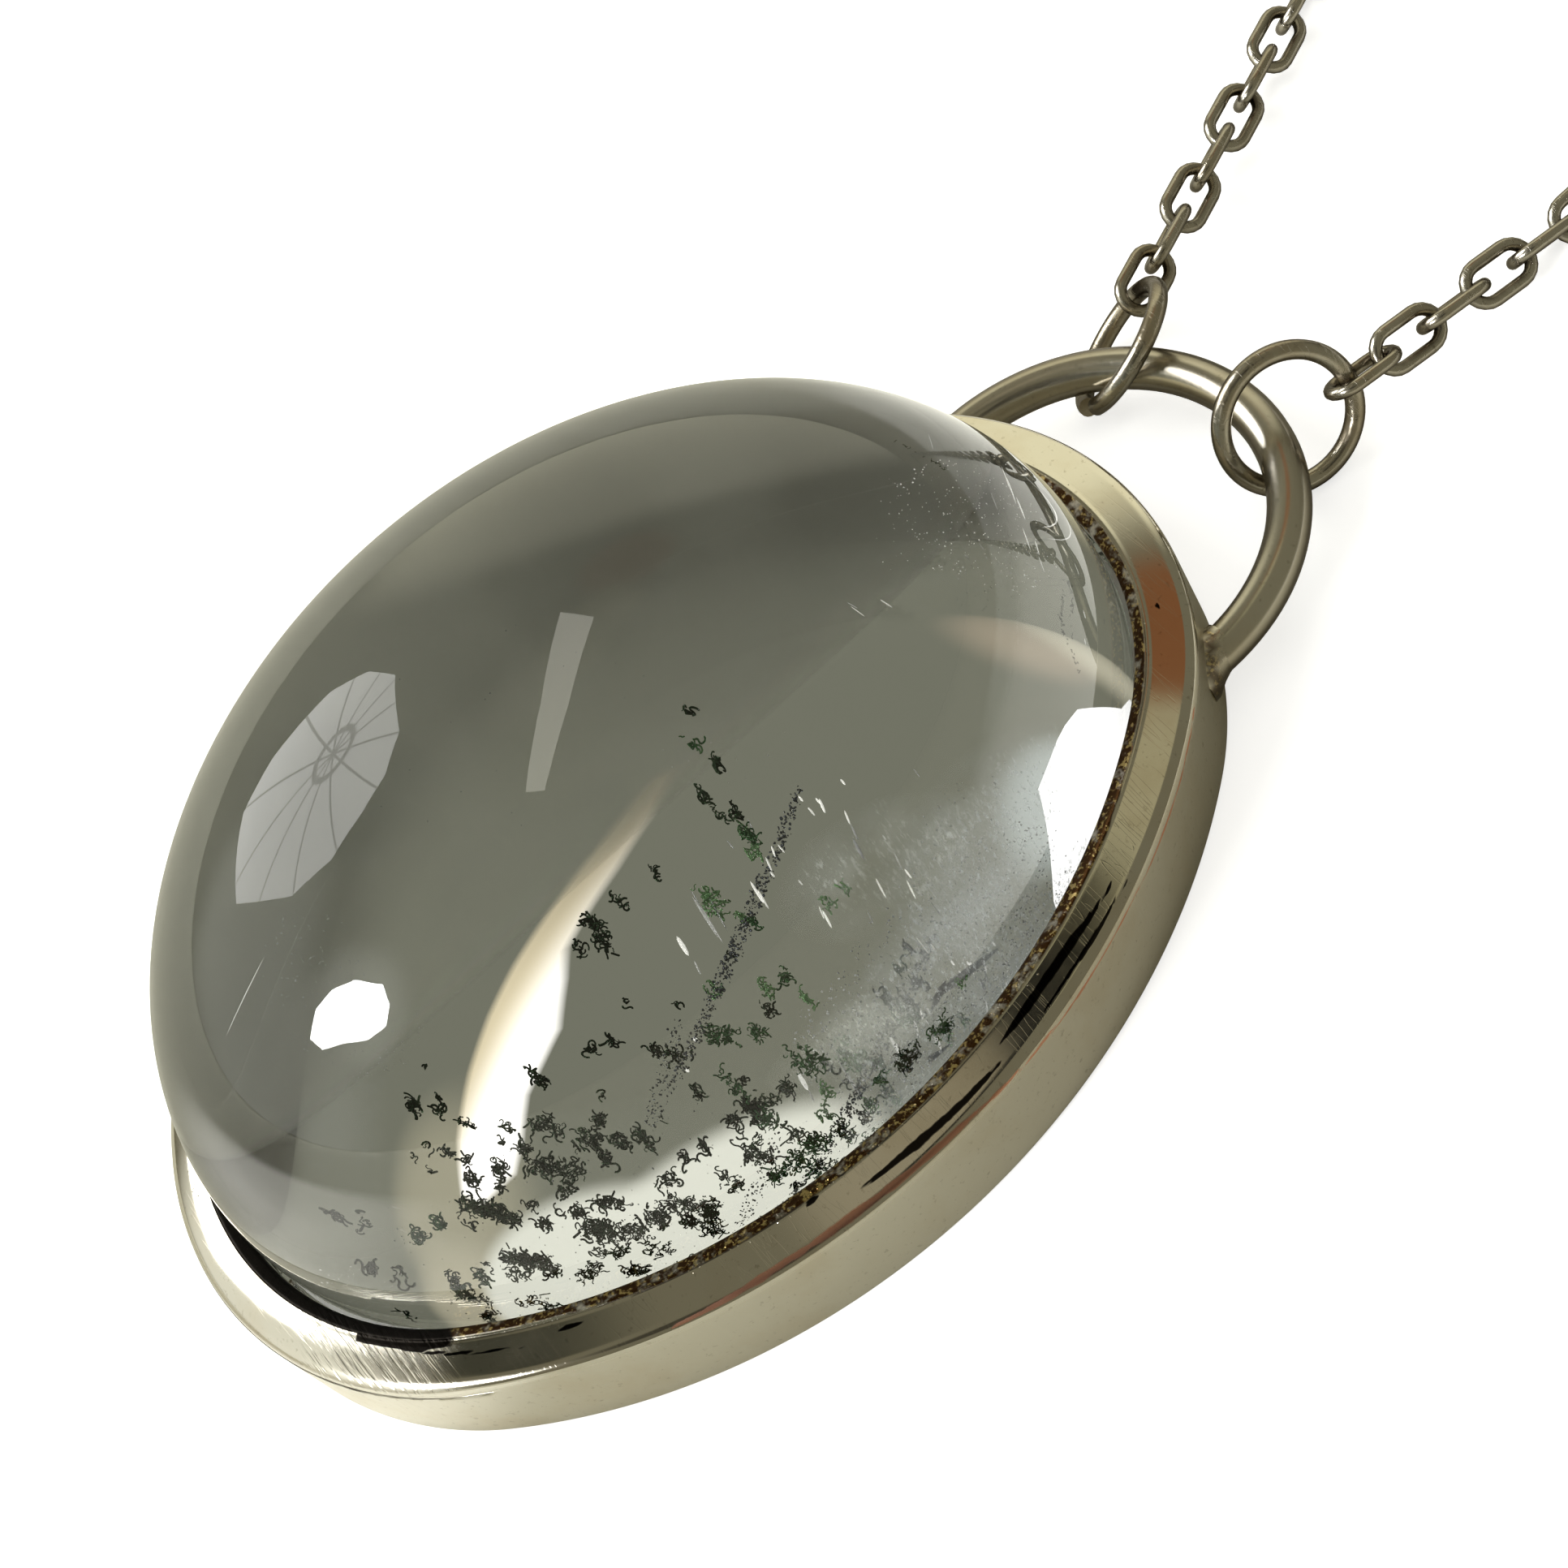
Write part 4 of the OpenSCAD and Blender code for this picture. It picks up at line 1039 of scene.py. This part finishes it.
# Each strand first slopes down from its ring for a fall, which costs it some length in plan.
# Both then run straight to an arc, and their lines meet behind the rings at the apex
ways, falls, losts, runs = {}, {}, {}, {}
for side, (start, heading, slope, links, even, odd, twist) in STRANDS.items():
    ways[side] = level_way(heading)
    falls[side] = (start.z - CHAIN_Z) / math.sin(math.radians(slope))
    losts[side] = falls[side] * (1 - math.cos(math.radians(slope)))
    runs[side] = FIRST_STEP + (links - 1) * PITCH + HOOK_STEP
starts = {side: strand[0] for side, strand in STRANDS.items()}
between = (starts["left"] - starts["right"]).xy
cross = ways["right"].xy.cross(ways["left"].xy)
behinds = {"right": -between.cross(ways["left"].xy) / cross, "left": -between.cross(ways["right"].xy) / cross}
apex = starts["right"] - behinds["right"] * ways["right"]
half_angle = math.radians(STRANDS["right"][1] - STRANDS["left"][1]) / 2
plan_length = sum(runs.values()) + CLASP_SPAN - sum(losts.values())
arc_radius = (plan_length + sum(behinds.values())) / (2 / math.tan(half_angle) + math.pi + 2 * half_angle)
middle_heading = (STRANDS["right"][1] + STRANDS["left"][1]) / 2
arc_middle = apex + arc_radius / math.sin(half_angle) * level_way(middle_heading)


def strand_place(side, along):
    """Place on a strand at a length along it from the jump ring, with heading and slope."""
    start, heading, slope = STRANDS[side][:3]
    heading, slope, hand = math.radians(heading), math.radians(slope), 1 if side == "right" else -1
    if along < falls[side]:
        lowered = ways[side] * math.cos(slope) - Vector((0, 0, math.sin(slope)))
        return start + lowered * along, math.pi / 2 - heading, slope
    along -= losts[side]
    straight = arc_radius / math.tan(half_angle) - behinds[side]
    if along < straight:
        flat = start + ways[side] * along
        return Vector((flat.x, flat.y, CHAIN_Z)), math.pi / 2 - heading, 0.0
    turn = (math.pi if hand < 0 else 0) - heading + hand * (along - straight) / arc_radius
    place = arc_middle + arc_radius * Vector((math.cos(turn), math.sin(turn), 0))
    return Vector((place.x, place.y, CHAIN_Z)), turn + hand * math.pi / 2, 0.0


link = add_shape(bpy.ops.mesh.primitive_circle_add, vertices=14, radius=LINK_WIRE * MM,
                 rotation=(0, math.pi / 2, 0), location=(LINK_REACH * MM, -LINK_BEND * MM, 0))
bpy.ops.object.transform_apply()
edit_all()
for hand in (1, -1):
    spin_on(180, (hand * LINK_REACH * MM, 0, 0), 10)
    bpy.ops.mesh.extrude_region_move(TRANSFORM_OT_translate={"value": (-hand * 2 * LINK_REACH * MM, 0, 0)})
end_edit()
seal(link, 0.0005)
# 1 at the inner side of the wire and 0 at the outer one, where the painted shade goes
inner_shade = []
for vertex in link.data.vertices:
    ring_radius = math.hypot(max(abs(vertex.co.x) / MM - LINK_REACH, 0), vertex.co.y / MM)
    inner_shade.append(min(max((LINK_BEND - ring_radius) / LINK_WIRE * 0.5 + 0.5, 0), 1))
store(link.data, "inner_shade", inner_shade)

SPECK_BROWN = (0.22, 0.18, 0.12)
chain_silver, shader, colour, wear_marks, place = worn_silver(
    "chain_silver", WIRE_WHITE, WIRE_BROWN, 0.6, SPECK_BROWN, 0.5)
patches = noise(place, 900, 3, 0.6)
# Painted shade on the inner side of the links, in patches
recess = smooth_step(attribute(shader.id_data, "inner_shade"), 0.35, 0.95)
dark_share = times(recess, smooth_step(patches, 0.3, 0.6))
colour = blend(times(dark_share, 0.85), colour, (0.10, 0.075, 0.045))
feed(shader, {
    "Base Color": painted_dark_edges(colour, 0.9), "Metallic": 1.0, "Roughness": plus(0.17, times(patches, 0.14)),
    "Normal": bump(minus(patches, times(wear_marks["Scratches"], 0.3)), 0.008)})

for side, (start, heading, slope, links, even, odd, twist) in STRANDS.items():
    link_places = []
    for number in range(links):
        place, turn, tilt = strand_place(side, FIRST_STEP + number * PITCH)
        roll = math.radians((odd if number % 2 else even) + twist * 0.5**number)
        link_places.append(Matrix.Translation(place * MM) @ Euler((roll, tilt, turn)).to_matrix().to_4x4())
    model = link.copy()
    model.data = link.data.copy()
    chain = scatter([model], link_places, f"cable_chain_{side}")
    chain.data.materials.append(chain_silver)
    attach(chain, "root")
    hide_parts(f"chain_{side}")
bpy.data.objects.remove(link)

# Clasp. A plain round silver clasp at the back of the neck, with a thumb stud
# and a soldered eye on each side for the end links. It is out of the photo.
STUD_RADIUS, STUD_HEIGHT, STUD_EDGE, EYE_TILT = 0.4, 1.5, 0.08, 36
clasp_parts = [add_shape(
    bpy.ops.mesh.primitive_torus_add, major_segments=96, minor_segments=32,
    major_radius=CLASP_RADIUS * MM, minor_radius=CLASP_TUBE * MM)]
for side in (-1, 1):
    tilt, place = math.radians(-side * EYE_TILT), (side * (CLASP_SPAN / 2 - EYE_RADIUS) * MM, 0, 0)
    clasp_parts.append(add_shape(
        bpy.ops.mesh.primitive_torus_add, major_segments=60, minor_segments=18, location=place,
        major_radius=EYE_RADIUS * MM, minor_radius=EYE_WIRE * MM, rotation=(tilt, 0, 0)))
clasp_parts.append(add_shape(
    bpy.ops.mesh.primitive_cylinder_add, vertices=36, radius=STUD_RADIUS * MM, depth=STUD_HEIGHT * MM,
    rotation=(math.pi / 2, 0, 0), location=(0, (CLASP_RADIUS + STUD_HEIGHT / 2) * MM, 0)))
edit_all()
bpy.ops.mesh.bevel(offset=STUD_EDGE * MM, segments=3, affect="EDGES")
end_edit()
clasp = join(clasp_parts, "round_clasp")
near, far = (strand_place(side, runs[side])[0] for side in ("right", "left"))
clasp.rotation_euler = (0, 0, math.atan2(far.y - near.y, far.x - near.x))
clasp.location = Vector(((near.x + far.x) / 2, (near.y + far.y) / 2, CHAIN_Z)) * MM
join([clasp], "round_clasp")
seal(clasp, 0.0002)

clasp_silver, shader, colour, wear_marks = worn_silver(
    "clasp_silver", (0.75, 0.72, 0.66), (0.60, 0.52, 0.38), 0.6, SPECK_BROWN, 0.5)[:4]
feed(shader, {
    "Base Color": colour, "Metallic": 1.0, "Roughness": plus(0.14, times(wear_marks["Blotches"], 0.12)),
    "Normal": bump(minus(1.0, wear_marks["Scratches"]), 0.004)})
clasp.data.materials.append(clasp_silver)
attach(clasp, "root")
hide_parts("clasp")


size = {"cad": [list(c) for c in cad_box], "visual": [list(c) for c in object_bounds()]}
